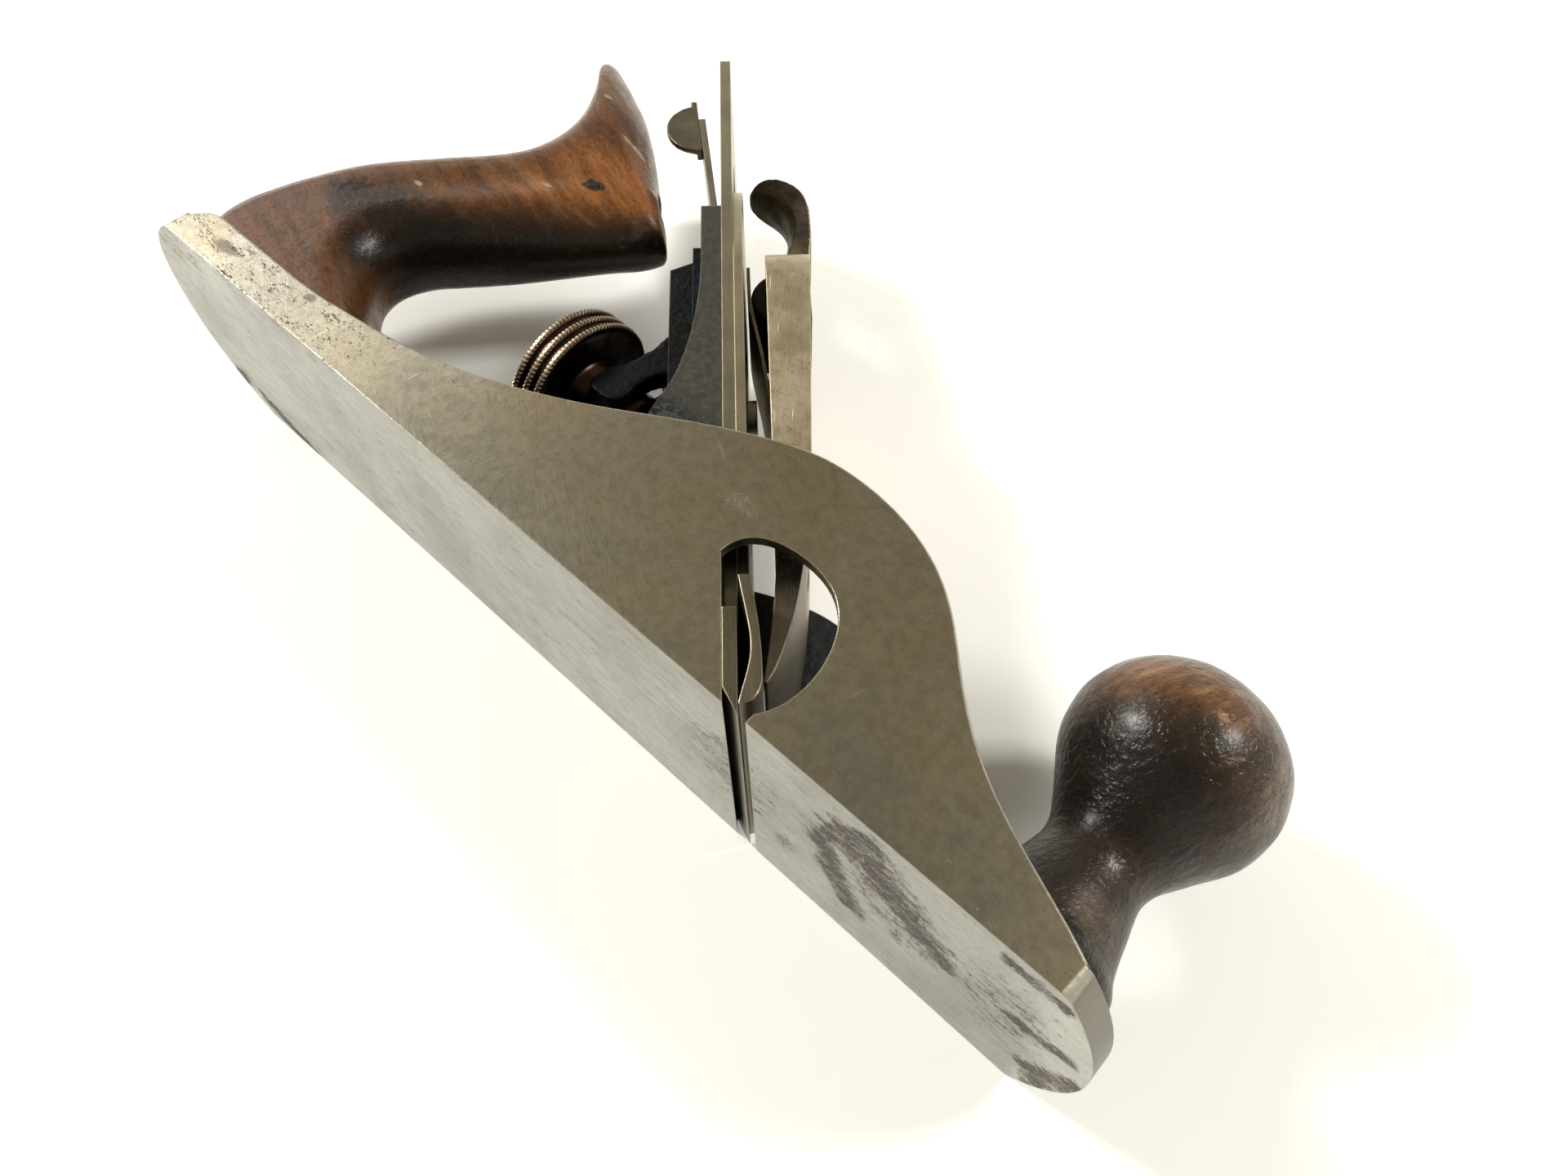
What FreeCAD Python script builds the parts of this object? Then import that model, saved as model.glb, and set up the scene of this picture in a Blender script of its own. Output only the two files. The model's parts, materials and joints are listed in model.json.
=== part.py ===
import FreeCAD, Part
import math
import os
from FreeCAD import Vector

# Bench rabbet plane with an iron as wide as its body, lying on its left cheek.
# Row frame: X runs to the toe, Y up from the sole, Z out of the right cheek.
# Origin: the rear edge of the mouth, on the sole, in the plane of the left cheek.
# All lengths are in millimetres and all angles in degrees.

# Casting
planeWidth = 54.0
cheekWall = 3.2
soleThickness = 4.2
heelCorner = 147.0        # mouth to the rear end of each cheek
heelBulge = 15.5          # how far the rounded heel stands out past its corners
toeCorner = 61.6
toeBulge = 9.3
endWall = 3.0
endHeight = 5.0
heelHeight = 8.7          # cheek height at the heel
humpHeight = 44.2
humpX = -11.0
humpRear = 110.0          # length of the cheek's slope behind the hump
cheekRound = 0.5          # broken edges of the cheeks
bedAngle = 45.0
mouthGap = 4.7
mouthLand = 1.8           # height of the square land at the mouth's front edge
openingBed = 26.5         # straight side of each cheek opening, along the bed
openingHeight = 26.5
openingFront = 7.2
openingChamfer = 1.2
seatHeight = 13.0         # the frog's seat above the sole
seatRear = 48.0

# Frog
frogWidth = 40.0
frogRear = 52.0
frogPlate = 4.0
frogTop = 115.0           # length of the bed, measured from the mouth
frogArch = 4.0
frogFoot = 6.0
flangeWall = 4.0
ribWall = 4.0
ribInset = 10.3           # mid-plane to the inside of each rib
ribDepth = 10.5
ribTop = 103.0
backStep = 1.8
wallThick = 4.0           # cross wall behind the frog screws
wallTop = 38.0
frogSlotLow = 60.0
frogSlotHigh = 98.0
frogSlotHalf = 9.8
frogTravel = 0.8          # how far the frog slides to close the mouth

# Screws of the frog
frogScrewX = -32.0
frogScrewSpread = 10.0
frogScrewRadius = 3.0
frogScrewHead = 5.0
frogScrewHeadHeight = 3.5
frogScrewEnd = 5.0
washerRadius = 5.6
washerThick = 1.0
wellClear = 0.8
feedY = 8.6               # height of the frog adjusting screw
feedRadius = 2.4
feedCollar = 3.8
feedHead = 4.0
feedHeadLength = 5.0
feedDepth = 9.0
clipThick = 1.5
clipHalf = 6.5
clipLow = 4.8
clipScrewY = 16.0
clipScrewRadius = 1.5
clipScrewHead = 3.2
clipScrewHeadHeight = 1.8
clipScrewDepth = 7.0

# Cutting iron and cap iron
ironThick = 2.3
ironSide = 0.05           # the iron stands in from the cheeks' faces by this much
ironWideTop = 16.3
ironNarrow = 40.4
ironTop = 165.2
ironCorner = 2.5
bevelAngle = 25.0
ironSlotLow = 45.0
ironSlotHigh = 138.0
ironSlotHalf = 5.7
ironEye = 9.5
capThick = 1.9
capEdge = 2.0             # cap iron's edge back from the cutting edge
capHump = 2.0             # how far the cap iron arches off the iron
capWideTop = 22.0
capShoulder = 100.0
capArch = 36.0
capSlotLow = 44.0
capSlotHigh = 60.0
capSlotHalf = 4.8
capScrewS = 76.0
capScrewRadius = 3.5
capScrewHead = 8.4
capScrewHeadHeight = 2.6
capScrewProud = 1.8

# Depth adjuster
ironTravel = 1.4          # the iron's travel each way
yokePivotS = 87.0
yokePivotD = -7.8
yokeTipS = 90.0
yokeTipHalf = 2.2
yokeTongueHalf = 2.4
yokeHub = 4.6
yokeHalf = 8.8
yokeArmWidth = 4.0
yokeArmHeight = 6.0
yokePad = 3.5             # radius of the fork's rounded ends
yokePinRadius = 2.0
wheelY = 40.2
wheelGrooveX = -70.9
wheelRadius = 15.0
wheelRim = 1.4
wheelGap = 1.4
wheelGroove = 0.9
grooveRadius = 4.3
collarRadius = 6.6
collarFront = 3.6
collarRear = 4.2
studRadius = 3.0
studTail = 1.5
studDepth = 8.0
studBoss = 6.5
studBossEnd = 58.0

# Lateral adjuster
lateralPivotS = 110.0
lateralThick = 1.5
lateralHalf = 6.5
lateralTipHalf = 4.5
lateralSink = 0.4         # depth of the lever below the bed
lateralBendS = 120.0
lateralBend = 5.0
lateralTop = 164.6
lateralRecessHalf = 9.5
rollerS = 98.5
rollerRadius = 4.2
rollerEnd = 5.0
rollerThick = 2.3
rollerPinRadius = 1.4
lateralPinRadius = 2.0
lateralPinHead = 3.4
lateralPinHeadHeight = 1.2
tabThick = 1.4
tabLow = 153.4
tabHigh = 169.7
tabTip = 1.6
tabDepth = 7.8
tabRivetRadius = 1.2
tabRivetS = (156.0, 161.5)

# Lever cap
leverWidth = 40.0
leverWall = 3.0
leverLip = 6.5            # lip's distance up the iron
leverLipThick = 0.5
leverRear = 8.6           # underside of the lever cap above the bed
leverFront = 16.4         # front face above the bed
leverTaper = 0.9          # rise and fall of the front face, end to end
leverPlate = 3.2
leverShoulder = 96.0
leverArch = 15.0
leverScrewS = 52.0
leverScrewRadius = 3.6
leverScrewHead = 6.8
leverScrewHeadHeight = 3.6
leverScrewDepth = 9.0
leverSlip = 9.5           # travel that brings the keyhole's eye under the screw's head
camPinS = 101.0
camPinD = 14.5
camPinRadius = 2.0
camPinHalf = 15.0
camRadius = 7.5
camThrow = 1.55
camFront = 4.2
camHalf = 8.2
camTipHalf = 5.4
camTongue = 7.8           # length of the thumb piece's rounded end
camSlotLow = 91.0
camStem = 5.2
springThick = 0.7
springHalf = 11.0
springFoot = 58.0
springEnd = 107.0
springBossHalf = 7.0
springRivetS = springFoot + 4.0
springBossTop = springRivetS + 5.0
springRivetRadius = 1.8

# Handles
toteX = -102.0            # front end of the rear handle
toteThick = 24.0
toteHeight = 108.6        # base to the tip of the horn
toteDrawn = 108.6         # the height that toteSection's outline is written for
totePad = 0.8
toteBossRadius = 6.5
toteBossHeight = 4.0
rodRadius = 2.8
rodAngle = 59.0
toteRodX = -155.4
toteRodLength = toteHeight - 16.6
knobX = 53.0
knobBaseRadius = 13.6
knobRadius = 19.6
knobNeck = 9.6
knobHeight = 61.5
knobDrawn = 61.5          # the height that makeKnob's profile is written for
knobBossRadius = 15.8
knobBossHeight = 2.3
knobRing = 2.4
nutHead = 6.8
nutHeadHeight = 2.6
nutBarrel = 4.4
nutLength = 12.0
screwSlot = 1.4           # width of the slots across screws and nuts
rodBase = 1.6             # bottom of each rod above the sole

# Clearances
runFit = 0.05             # shafts and pins in their holes
looseFit = 0.3            # everything else that moves or is fitted by hand
touchGap = 0.05

mid = planeWidth / 2
bedTurn = 90.0 - bedAngle
sinBed = math.sin(math.radians(bedAngle))
cosBed = math.cos(math.radians(bedAngle))
tanBed = math.tan(math.radians(bedAngle))
xAxis = Vector(1, 0, 0)
yAxis = Vector(0, 1, 0)
zAxis = Vector(0, 0, 1)


# ---- helpers ----

def onBed(shape):
    """Turn a shape drawn with X off the bed and Y up the bed into place."""
    turned = shape.copy()
    turned.rotate(Vector(0, 0, 0), zAxis, bedTurn)
    return turned


def bedPoint(up, off, z=0.0):
    return Vector(off * sinBed - up * cosBed, up * sinBed + off * cosBed, z)


def block(x0, x1, y0, y1, z0, z1):
    return Part.makeBox(x1 - x0, y1 - y0, z1 - z0, Vector(x0, y0, z0))


def rod(start, axis, radius, length):
    return Part.makeCylinder(radius, length, start, axis)


def prism(points, z0, z1):
    """A straight-sided outline in X and Y, carried across from z0 to z1."""
    corners = [Vector(x, y, z0) for x, y in points]
    face = Part.Face(Part.makePolygon(corners + corners[:1]))
    return face.extrude(Vector(0, 0, z1 - z0))


def spline(points, start=None, end=None):
    curve = Part.BSplineCurve()
    if start is None:
        curve.interpolate(points)
    else:
        curve.interpolate(Points=points, InitialTangent=start, FinalTangent=end)
    return curve.toShape()


def line(a, b):
    return Part.makeLine(a, b)


def arc(a, b, c):
    return Part.Arc(a, b, c).toShape()


def solidOf(edges, direction):
    return Part.Face(Part.Wire(edges)).extrude(direction)


def slotted(low, high, half, x0, x1, z=mid):
    """A round-ended slot along Y, cut from x0 to x1; low and high are its ends' centres."""
    depth = x1 - x0
    body = block(x0, x1, low, high, z - half, z + half)
    ends = [rod(Vector(x0, y, z), xAxis, half, depth) for y in (low, high)]
    return body.multiFuse(ends)


def archPlate(x0, x1, low, shoulder, rise, half):
    """A flat bar across x0..x1 whose upper end is half an ellipse above the shoulder."""
    left, right = mid - half, mid + half
    a, b = Vector(x0, low, left), Vector(x0, shoulder, left)
    c, d = Vector(x0, shoulder, right), Vector(x0, low, right)
    big, small = max(rise, half), min(rise, half)
    centre = Vector(x0, shoulder, mid)
    top = Vector(x0, shoulder + rise, mid)
    if rise >= half:
        oval = Part.Ellipse(top, Vector(x0, shoulder, right), centre)
    else:
        oval = Part.Ellipse(Vector(x0, shoulder, right), top, centre)
    whole = Part.Face(Part.Wire(oval.toShape())).extrude(Vector(x1 - x0, 0, 0))
    upper = whole.common(block(x0, x1, shoulder, shoulder + big, left - small, right + small))
    bar = Part.Face(Part.Wire([line(a, b), line(b, c), line(c, d), line(d, a)]))
    return bar.extrude(Vector(x1 - x0, 0, 0)).fuse(upper).removeSplitter()


def save(name, shape):
    if not shape.isValid():
        raise ValueError(name + " is not a valid shape")
    shape.exportStep("parts/" + name + ".step")
    print(name, len(shape.Solids), round(shape.Volume, 1))


# ---- casting ----

def planOutline(inset, height, thickness):
    """The casting's outline seen from above the sole, drawn in by inset, as a slab."""
    low, high = inset, planeWidth - inset
    heel, toe = -heelCorner + 0.5 * inset, toeCorner - 0.5 * inset
    a, b = Vector(heel, height, low), Vector(toe, height, low)
    c, d = Vector(toe, height, high), Vector(heel, height, high)
    toeApex = Vector(toeCorner + toeBulge - inset, height, mid)
    heelApex = Vector(-heelCorner - heelBulge + inset, height, mid)
    edges = [line(a, b), arc(b, toeApex, c), line(c, d), arc(d, heelApex, a)]
    return solidOf(edges, Vector(0, thickness, 0))


def cheekPlate(z0):
    """One side wall, with its hump over the mouth."""
    frontRun = toeCorner - humpX
    rise = humpHeight - endHeight
    front = [(1.0, 0.0), (0.80, 0.165), (0.62, 0.335), (0.47, 0.56), (0.373, 0.735), (0.26, 0.882),
             (0.13, 0.97)]
    rear = [(0.075, 0.983), (0.16, 0.895), (0.27, 0.722), (0.40, 0.48), (0.54, 0.265),
            (0.70, 0.105), (0.86, 0.028)]
    points = [Vector(humpX + t * frontRun, endHeight + h * rise, z0) for t, h in front]
    points.append(Vector(humpX, humpHeight, z0))
    points += [Vector(humpX - t * humpRear, heelHeight + h * (humpHeight - heelHeight), z0) for t, h in rear]
    points.append(Vector(humpX - humpRear, heelHeight, z0))
    curve = spline(points, Vector(-1, 0.55, 0), Vector(-1, 0, 0))
    heelStart = Vector(-heelCorner, 0, z0)
    heelArcLow = Vector(-heelCorner, endHeight - 2.0, z0)
    heelArcHigh = Vector(-heelCorner + heelHeight - endHeight + 2.0, heelHeight, z0)
    bulge = (heelHeight - endHeight + 2.0) * (1 - math.sqrt(0.5))
    heelArcMid = Vector(-heelCorner + bulge, heelHeight - bulge, z0)
    toeFoot = Vector(toeCorner, 0, z0)
    edges = [line(heelStart, toeFoot), line(toeFoot, points[0]), curve, line(points[-1], heelArcHigh),
             arc(heelArcHigh, heelArcMid, heelArcLow), line(heelArcLow, heelStart)]
    wall = solidOf(edges, Vector(0, 0, cheekWall))
    crest = [e for e in wall.Edges if e.BoundBox.ZLength < 1e-6 and e.BoundBox.YMax > humpHeight - 1.0]
    return wall.makeFillet(cheekRound, crest)


def openCheek(z0, inner):
    """A side wall with its opening, whose rim is bevelled on the inside."""
    wall = cheekPlate(z0).cut(cheekOpening())
    rim = [e for e in wall.Edges if e.Curve.TypeId == "Part::GeomBSplineCurve"
           and abs(e.BoundBox.Center.z - inner) < 1e-4 and e.BoundBox.YMax < openingHeight + 0.5]
    wall = wall.makeChamfer(openingChamfer, rim)
    return wall.common(block(-heelCorner, toeCorner, 0, humpHeight, z0, z0 + cheekWall))


def cheekOpening():
    """The half-round opening over the mouth, straight along the bed."""
    low, high = bedPoint(-3.0, 0), bedPoint(openingBed, 0)
    span = openingFront - high.x
    shape = [(0.075, 0.90), (0.355, 1.0), (0.75, 0.91), (0.945, 0.655), (1.0, 0.35), (0.965, 0.175)]
    points = [high] + [Vector(high.x + t * span, h * openingHeight, 0) for t, h in shape]
    points.append(Vector(mouthGap, mouthLand, 0))
    foot = Vector(mouthGap, -3.0, 0)
    edges = [line(low, high), spline(points), line(points[-1], foot), line(foot, low)]
    return solidOf(edges, Vector(0, 0, planeWidth))


def mouthCut():
    """The mouth between the cheeks, flared above its land."""
    flare = 2 * seatHeight
    low, high = bedPoint(-3.0, 0), bedPoint(flare / sinBed, 0)
    points = [(low.x, low.y), (high.x, high.y), (mouthGap + flare, flare + mouthLand),
              (mouthGap, mouthLand), (mouthGap, low.y)]
    return prism(points, cheekWall, planeWidth - cheekWall)


def rodAxis():
    """Direction of the rear handle's rod, leaning to the toe."""
    angle = math.radians(rodAngle)
    return Vector(math.cos(angle), math.sin(angle), 0)


def toteRodFoot():
    return Vector(toteRodX, soleThickness, mid)


def makeBody():
    body = planOutline(0, 0, endHeight)
    body = body.cut(planOutline(endWall, soleThickness, endHeight))
    walls = [openCheek(0, cheekWall), openCheek(planeWidth - cheekWall, planeWidth - cheekWall)]
    seatEdge = seatHeight / tanBed
    seat = prism([(-seatRear, 0), (0, 0), (-seatEdge, seatHeight), (-seatRear, seatHeight)],
                 cheekWall, planeWidth - cheekWall)
    pad = block(toteX - 57.0, toteX, 0.5 * soleThickness, soleThickness + totePad, mid - 9.0, mid + 9.0)
    toteBoss = rod(Vector(toteRodX, 0.5 * soleThickness, mid), yAxis, toteBossRadius,
                   0.5 * soleThickness + totePad + toteBossHeight)
    knobBoss = rod(Vector(knobX, 0.5 * soleThickness, mid), yAxis, knobBossRadius,
                   0.5 * soleThickness + knobBossHeight + knobRing)
    body = body.multiFuse(walls + [seat, pad, toteBoss, knobBoss])
    knobSeat = soleThickness + knobBossHeight
    cuts = [mouthCut(), cheekOpening(),
            rod(Vector(knobX, knobSeat, mid), yAxis, knobBaseRadius + looseFit, knobRing + 1.0),
            rod(Vector(knobX, rodBase - runFit, mid), yAxis, rodRadius + runFit, knobSeat)]
    axis = rodAxis()
    start = toteRodFoot() - axis * ((soleThickness - rodBase) / axis.y + runFit)
    cuts.append(rod(start, axis, rodRadius + runFit, toteRodLength))
    for side in (-1, 1):
        hole = Vector(frogScrewX, frogScrewEnd - runFit, mid + side * frogScrewSpread)
        cuts.append(rod(hole, yAxis, frogScrewRadius + runFit, seatHeight))
    feedHole = Vector(-seatRear, feedY, mid)
    cuts.append(rod(feedHole, xAxis, feedRadius + runFit, feedDepth + frogTravel + 1.0))
    for cutter in cuts:
        body = body.cut(cutter)
    return body.removeSplitter()


# ---- frog ----

def bedSection(points, z0, z1):
    """A prism whose outline is given as (up the bed, off the bed)."""
    corners = [bedPoint(up, off) for up, off in points]
    return prism([(p.x, p.y) for p in corners], z0, z1)


def makeFrog():
    half = frogWidth / 2
    low, high = mid - half, mid + half
    seatUp = seatHeight / sinBed
    plate = onBed(archPlate(-frogPlate, 0, seatUp, frogTop, frogArch, half))
    backing = onBed(archPlate(-frogPlate - backStep, -frogPlate, frogSlotLow, ribTop + 3.0, frogArch,
                              half - 3.0))
    footTop = seatHeight + frogFoot
    foot = prism([(-frogRear, seatHeight), (-seatHeight / tanBed, seatHeight), (-footTop / tanBed, footTop),
                  (-frogRear, footTop)], low, high)
    wall = block(-frogRear, -frogRear + wallThick, seatHeight, wallTop, low, high)
    parts = [backing, foot, wall]
    for z0 in (low, high - flangeWall):
        parts.append(flange(z0))
    for z0 in (mid - ribInset - ribWall, mid + ribInset):
        parts.append(bedSection([(frogSlotLow - 2.0, -frogPlate), (ribTop + 3.0, -frogPlate),
                                 (ribTop, -ribDepth), (frogSlotLow - 2.0, -ribDepth)], z0, z0 + ribWall))
    bossFront = -wheelY / tanBed - studBoss - 1.5
    boss = rod(Vector(-studBossEnd, wheelY, mid), xAxis, studBoss, studBossEnd + bossFront)
    screwBoss = onBed(rod(Vector(-leverScrewDepth - 1.0, leverScrewS, mid), xAxis, leverScrewRadius + 3.0,
                          leverScrewDepth))
    frog = plate.multiFuse(parts + [boss, screwBoss])
    for cutter in frogCuts():
        frog = frog.cut(cutter)
    return frog.removeSplitter()


def flange(z0):
    """One machined side of the frog: thin at the top, swept back to the foot."""
    sweep = [(frogTop, -frogPlate), (100.0, -frogPlate), (89.7, -4.5), (80.8, -5.7), (74.3, -7.2),
             (68.1, -9.4), (63.8, -11.7)]
    tail = Vector(-frogRear, 33.0, z0)
    curve = spline([bedPoint(up, off, z0) for up, off in sweep[1:]] + [tail])
    face = [bedPoint(seatHeight / sinBed, 0, z0), bedPoint(frogTop, 0, z0), bedPoint(*sweep[0], z0),
            bedPoint(*sweep[1], z0)]
    foot = Vector(-frogRear, seatHeight, z0)
    edges = [line(a, b) for a, b in zip(face, face[1:])]
    edges += [curve, line(tail, foot), line(foot, face[0])]
    return solidOf(edges, Vector(0, 0, flangeWall))


def frogCuts():
    """Everything taken out of the frog: slots, wells, recess and threaded holes."""
    deep = frogPlate + backStep
    cuts = [block(-frogRear, mouthGap, 0, seatHeight, 0, planeWidth),
            onBed(slotted(frogSlotLow + frogSlotHalf, frogSlotHigh - frogSlotHalf, frogSlotHalf,
                          -deep - 1.0, 1.0))]
    recess = block(-lateralSink - lateralThick - looseFit, 1.0, rollerS - rollerEnd - 2.0, ironTop,
                   mid - lateralRecessHalf, mid + lateralRecessHalf)
    cuts.append(onBed(recess))
    pivotHole = Vector(-deep - 1.0, lateralPivotS, mid)
    cuts.append(onBed(rod(pivotHole, xAxis, lateralPinRadius + runFit, deep + 2.0)))
    cuts.append(onBed(rod(Vector(-leverScrewDepth - runFit, leverScrewS, mid), xAxis,
                          leverScrewRadius + runFit, leverScrewDepth + 1.0)))
    for side in (-1, 1):
        z = mid + side * frogScrewSpread
        wide, narrow = washerRadius + wellClear, frogScrewRadius + looseFit
        footTop = seatHeight + frogFoot
        cuts.append(travelSlot(wide, footTop, humpHeight, z))
        cuts.append(travelSlot(narrow, seatHeight - 1.0, footTop + 1.0, z))
    pin = yokePin(runFit, ribInset + ribWall)
    cuts.append(pin)
    studStart = Vector(-studBossEnd - 1.0, wheelY, mid)
    cuts.append(rod(studStart, xAxis, studRadius + runFit, 1.5 + studDepth + wheelFeed()))
    cuts.append(rod(Vector(-frogRear, clipScrewY, mid), xAxis, clipScrewRadius + runFit,
                    clipScrewDepth + runFit))
    return cuts


def travelSlot(radius, y0, y1, z):
    """An upright slot that lets the frog slide past a fixed screw."""
    start = frogScrewX - frogTravel
    body = block(start, frogScrewX, y0, y1, z - radius, z + radius)
    ends = [rod(Vector(x, y0, z), yAxis, radius, y1 - y0) for x in (start, frogScrewX)]
    return body.multiFuse(ends)


def makeFrogScrews():
    screws = []
    for side in (-1, 1):
        z = mid + side * frogScrewSpread
        under = seatHeight + frogFoot + washerThick
        shank = rod(Vector(frogScrewX, frogScrewEnd, z), yAxis, frogScrewRadius, under - frogScrewEnd)
        head = rod(Vector(frogScrewX, under, z), yAxis, frogScrewHead, frogScrewHeadHeight)
        cut = block(frogScrewX - frogScrewHead, frogScrewX + frogScrewHead, under + 0.6 * frogScrewHeadHeight,
                    under + 2 * frogScrewHeadHeight, z - 0.6, z + 0.6)
        screws.append(shank.fuse(head).cut(cut))
    return Part.makeCompound(screws)


def makeFrogWashers():
    washers = []
    for side in (-1, 1):
        base = Vector(frogScrewX, seatHeight + frogFoot, mid + side * frogScrewSpread)
        ring = rod(base, yAxis, washerRadius, washerThick)
        washers.append(ring.cut(rod(base, yAxis, frogScrewRadius + looseFit, washerThick)))
    return Part.makeCompound(washers)


def makeFrogFeedScrew():
    """The screw that slides the frog: thread, collar, grooved neck and slotted head."""
    front, rear = -frogRear + touchGap, -frogRear - clipThick - touchGap
    collarEnd = front + 1.2
    thread = rod(Vector(rear, feedY, mid), xAxis, feedRadius, -seatRear + feedDepth - rear)
    collar = rod(Vector(front, feedY, mid), xAxis, feedCollar, collarEnd - front)
    head = rod(Vector(rear - feedHeadLength, feedY, mid), xAxis, feedHead, feedHeadLength)
    cut = block(rear - 2 * feedHeadLength, rear - 0.6 * feedHeadLength, feedY - feedHead, feedY + feedHead,
                mid - 0.6, mid + 0.6)
    return thread.multiFuse([collar, head]).cut(cut)


def makeFrogClip():
    """The plate on the frog's rear end that carries the adjusting screw by its neck."""
    top = seatHeight + frogFoot
    plate = block(-frogRear - clipThick, -frogRear, clipLow, top, mid - clipHalf, mid + clipHalf)
    neck = feedRadius + looseFit
    gap = rod(Vector(-frogRear - clipThick, feedY, mid), xAxis, neck, clipThick)
    mouth = block(-frogRear - clipThick, -frogRear, clipLow, feedY, mid - neck, mid + neck)
    hole = rod(Vector(-frogRear - clipThick, clipScrewY, mid), xAxis, clipScrewRadius + runFit, clipThick)
    return plate.cut(gap).cut(mouth).cut(hole)


def makeFrogClipScrew():
    rear = -frogRear - clipThick
    shank = rod(Vector(rear, clipScrewY, mid), xAxis, clipScrewRadius, clipThick + clipScrewDepth)
    head = rod(Vector(rear - clipScrewHeadHeight, clipScrewY, mid), xAxis, clipScrewHead,
               clipScrewHeadHeight)
    cut = block(rear - clipScrewHeadHeight, rear - 0.5 * clipScrewHeadHeight, clipScrewY - clipScrewHead,
                clipScrewY + clipScrewHead, mid - 0.4, mid + 0.4)
    return shank.fuse(head).cut(cut)


# ---- depth adjuster ----

def forkArm():
    """Pivot to fork end, and pivot to tongue: the two arms of the Y lever."""
    pivot = bedPoint(yokePivotS, yokePivotD, mid)
    return math.hypot(pivot.x - wheelGrooveX, pivot.y - wheelY)


def tongueArm():
    return ironThick + capThick - yokePivotD


def wheelFeed():
    """The wheel's travel along its stud that gives the iron its own travel."""
    return ironTravel * forkArm() / tongueArm()


def yokePin(grow, half):
    pivot = bedPoint(yokePivotS, yokePivotD, mid - half)
    return rod(pivot, zAxis, yokePinRadius + grow, 2 * half)


def makeYoke():
    pivot = bedPoint(yokePivotS, yokePivotD)
    hub = rod(Vector(pivot.x, pivot.y, mid - yokeHalf), zAxis, yokeHub, 2 * yokeHalf)
    tongue = bedSection([(yokePivotS - 2.6, yokePivotD), (yokePivotS + 2.6, yokePivotD),
                         (yokeTipS + yokeTipHalf, 0), (yokeTipS + yokeTipHalf, ironThick + capThick),
                         (yokeTipS - yokeTipHalf, ironThick + capThick), (yokeTipS - yokeTipHalf, 0)],
                        mid - yokeTongueHalf, mid + yokeTongueHalf)
    parts = [tongue]
    inner = yokeHalf - yokeArmWidth
    down = Vector(wheelGrooveX - pivot.x, wheelY - pivot.y, 0)
    side = Vector(-down.y, down.x, 0).normalize() * (yokeArmHeight / 2)
    for z0 in (mid - yokeHalf, mid + inner):
        a, b = pivot + side, pivot - side
        c, d = pivot + down - side * 0.55, pivot + down + side * 0.55
        parts.append(prism([(p.x, p.y) for p in (a, b, c, d)], z0, z0 + yokeArmWidth))
        parts.append(rod(Vector(wheelGrooveX, wheelY, z0), zAxis, yokePad, yokeArmWidth))
    yoke = hub.multiFuse(parts)
    return yoke.cut(yokePin(runFit, yokeHalf + 1.0)).removeSplitter()


def wheelFront():
    """Where the knurled disc begins, behind the groove and its rear collar."""
    return wheelGrooveX - yokePad - looseFit / 1.5 - collarRear


def makeWheel():
    """A three-rimmed knurled disc with a grooved hub, threaded on the stud."""
    halfGroove = yokePad + looseFit / 1.5
    front = wheelFront()
    width = 3 * wheelRim + 2 * wheelGap
    disc = rod(Vector(front - width, wheelY, mid), xAxis, wheelRadius, width)
    for n in (1, 2):
        x = front - n * (wheelRim + wheelGap)
        ring = rod(Vector(x, wheelY, mid), xAxis, wheelRadius + 1.0, wheelGap)
        disc = disc.cut(ring.cut(rod(Vector(x, wheelY, mid), xAxis, wheelRadius - wheelGroove, wheelGap)))
    collar = rod(Vector(front, wheelY, mid), xAxis, collarRadius, collarRear)
    neck = rod(Vector(front, wheelY, mid), xAxis, grooveRadius, collarRear + 2 * halfGroove)
    flangeX = wheelGrooveX + halfGroove
    flangeRing = rod(Vector(flangeX, wheelY, mid), xAxis, collarRadius, collarFront)
    wheel = disc.multiFuse([collar, neck, flangeRing])
    bore = rod(Vector(front - width - 1.0, wheelY, mid), xAxis, studRadius + runFit, 60.0)
    return wheel.cut(bore).removeSplitter()


def makeStud():
    rear = wheelFront() - 3 * wheelRim - 2 * wheelGap - studTail
    front = -studBossEnd + studDepth
    return rod(Vector(rear, wheelY, mid), xAxis, studRadius, front - rear)


# ---- iron and cap iron ----

def wideBar(x0, x1, low, wideTop, narrowHalf, high):
    """A bar across x0..x1, full width up to wideTop and narrower above it."""
    wideHalf = mid - ironSide
    wide = block(x0, x1, low, wideTop, mid - wideHalf, mid + wideHalf)
    narrow = block(x0, x1, wideTop, high, mid - narrowHalf, mid + narrowHalf)
    return wide.fuse(narrow)


def makeIron():
    half = ironNarrow / 2
    edge = -ironThick / tanBed
    bar = wideBar(0, ironThick, edge, ironWideTop, half, ironTop).removeSplitter()
    corners = [e for e in bar.Edges if e.BoundBox.YLength < 1e-6 and e.BoundBox.ZLength < 1e-6
               and e.BoundBox.YMin > ironTop - 0.1]
    bar = bar.makeFillet(ironCorner, corners)
    run = ironThick / math.tan(math.radians(bevelAngle))
    bevel = prism([(ironThick, edge), (0, edge + run), (-1.0, edge + run), (-1.0, edge - 1.0),
                   (ironThick, edge - 1.0)], -1.0, planeWidth + 1.0)
    bar = bar.cut(bevel)
    bar = bar.cut(slotted(ironSlotLow + ironSlotHalf, ironSlotHigh, ironSlotHalf, -1.0, ironThick + 1.0))
    bar = bar.cut(rod(Vector(-1.0, ironSlotHigh, mid), xAxis, ironEye, ironThick + 2.0))
    return onBed(bar.removeSplitter())


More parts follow.
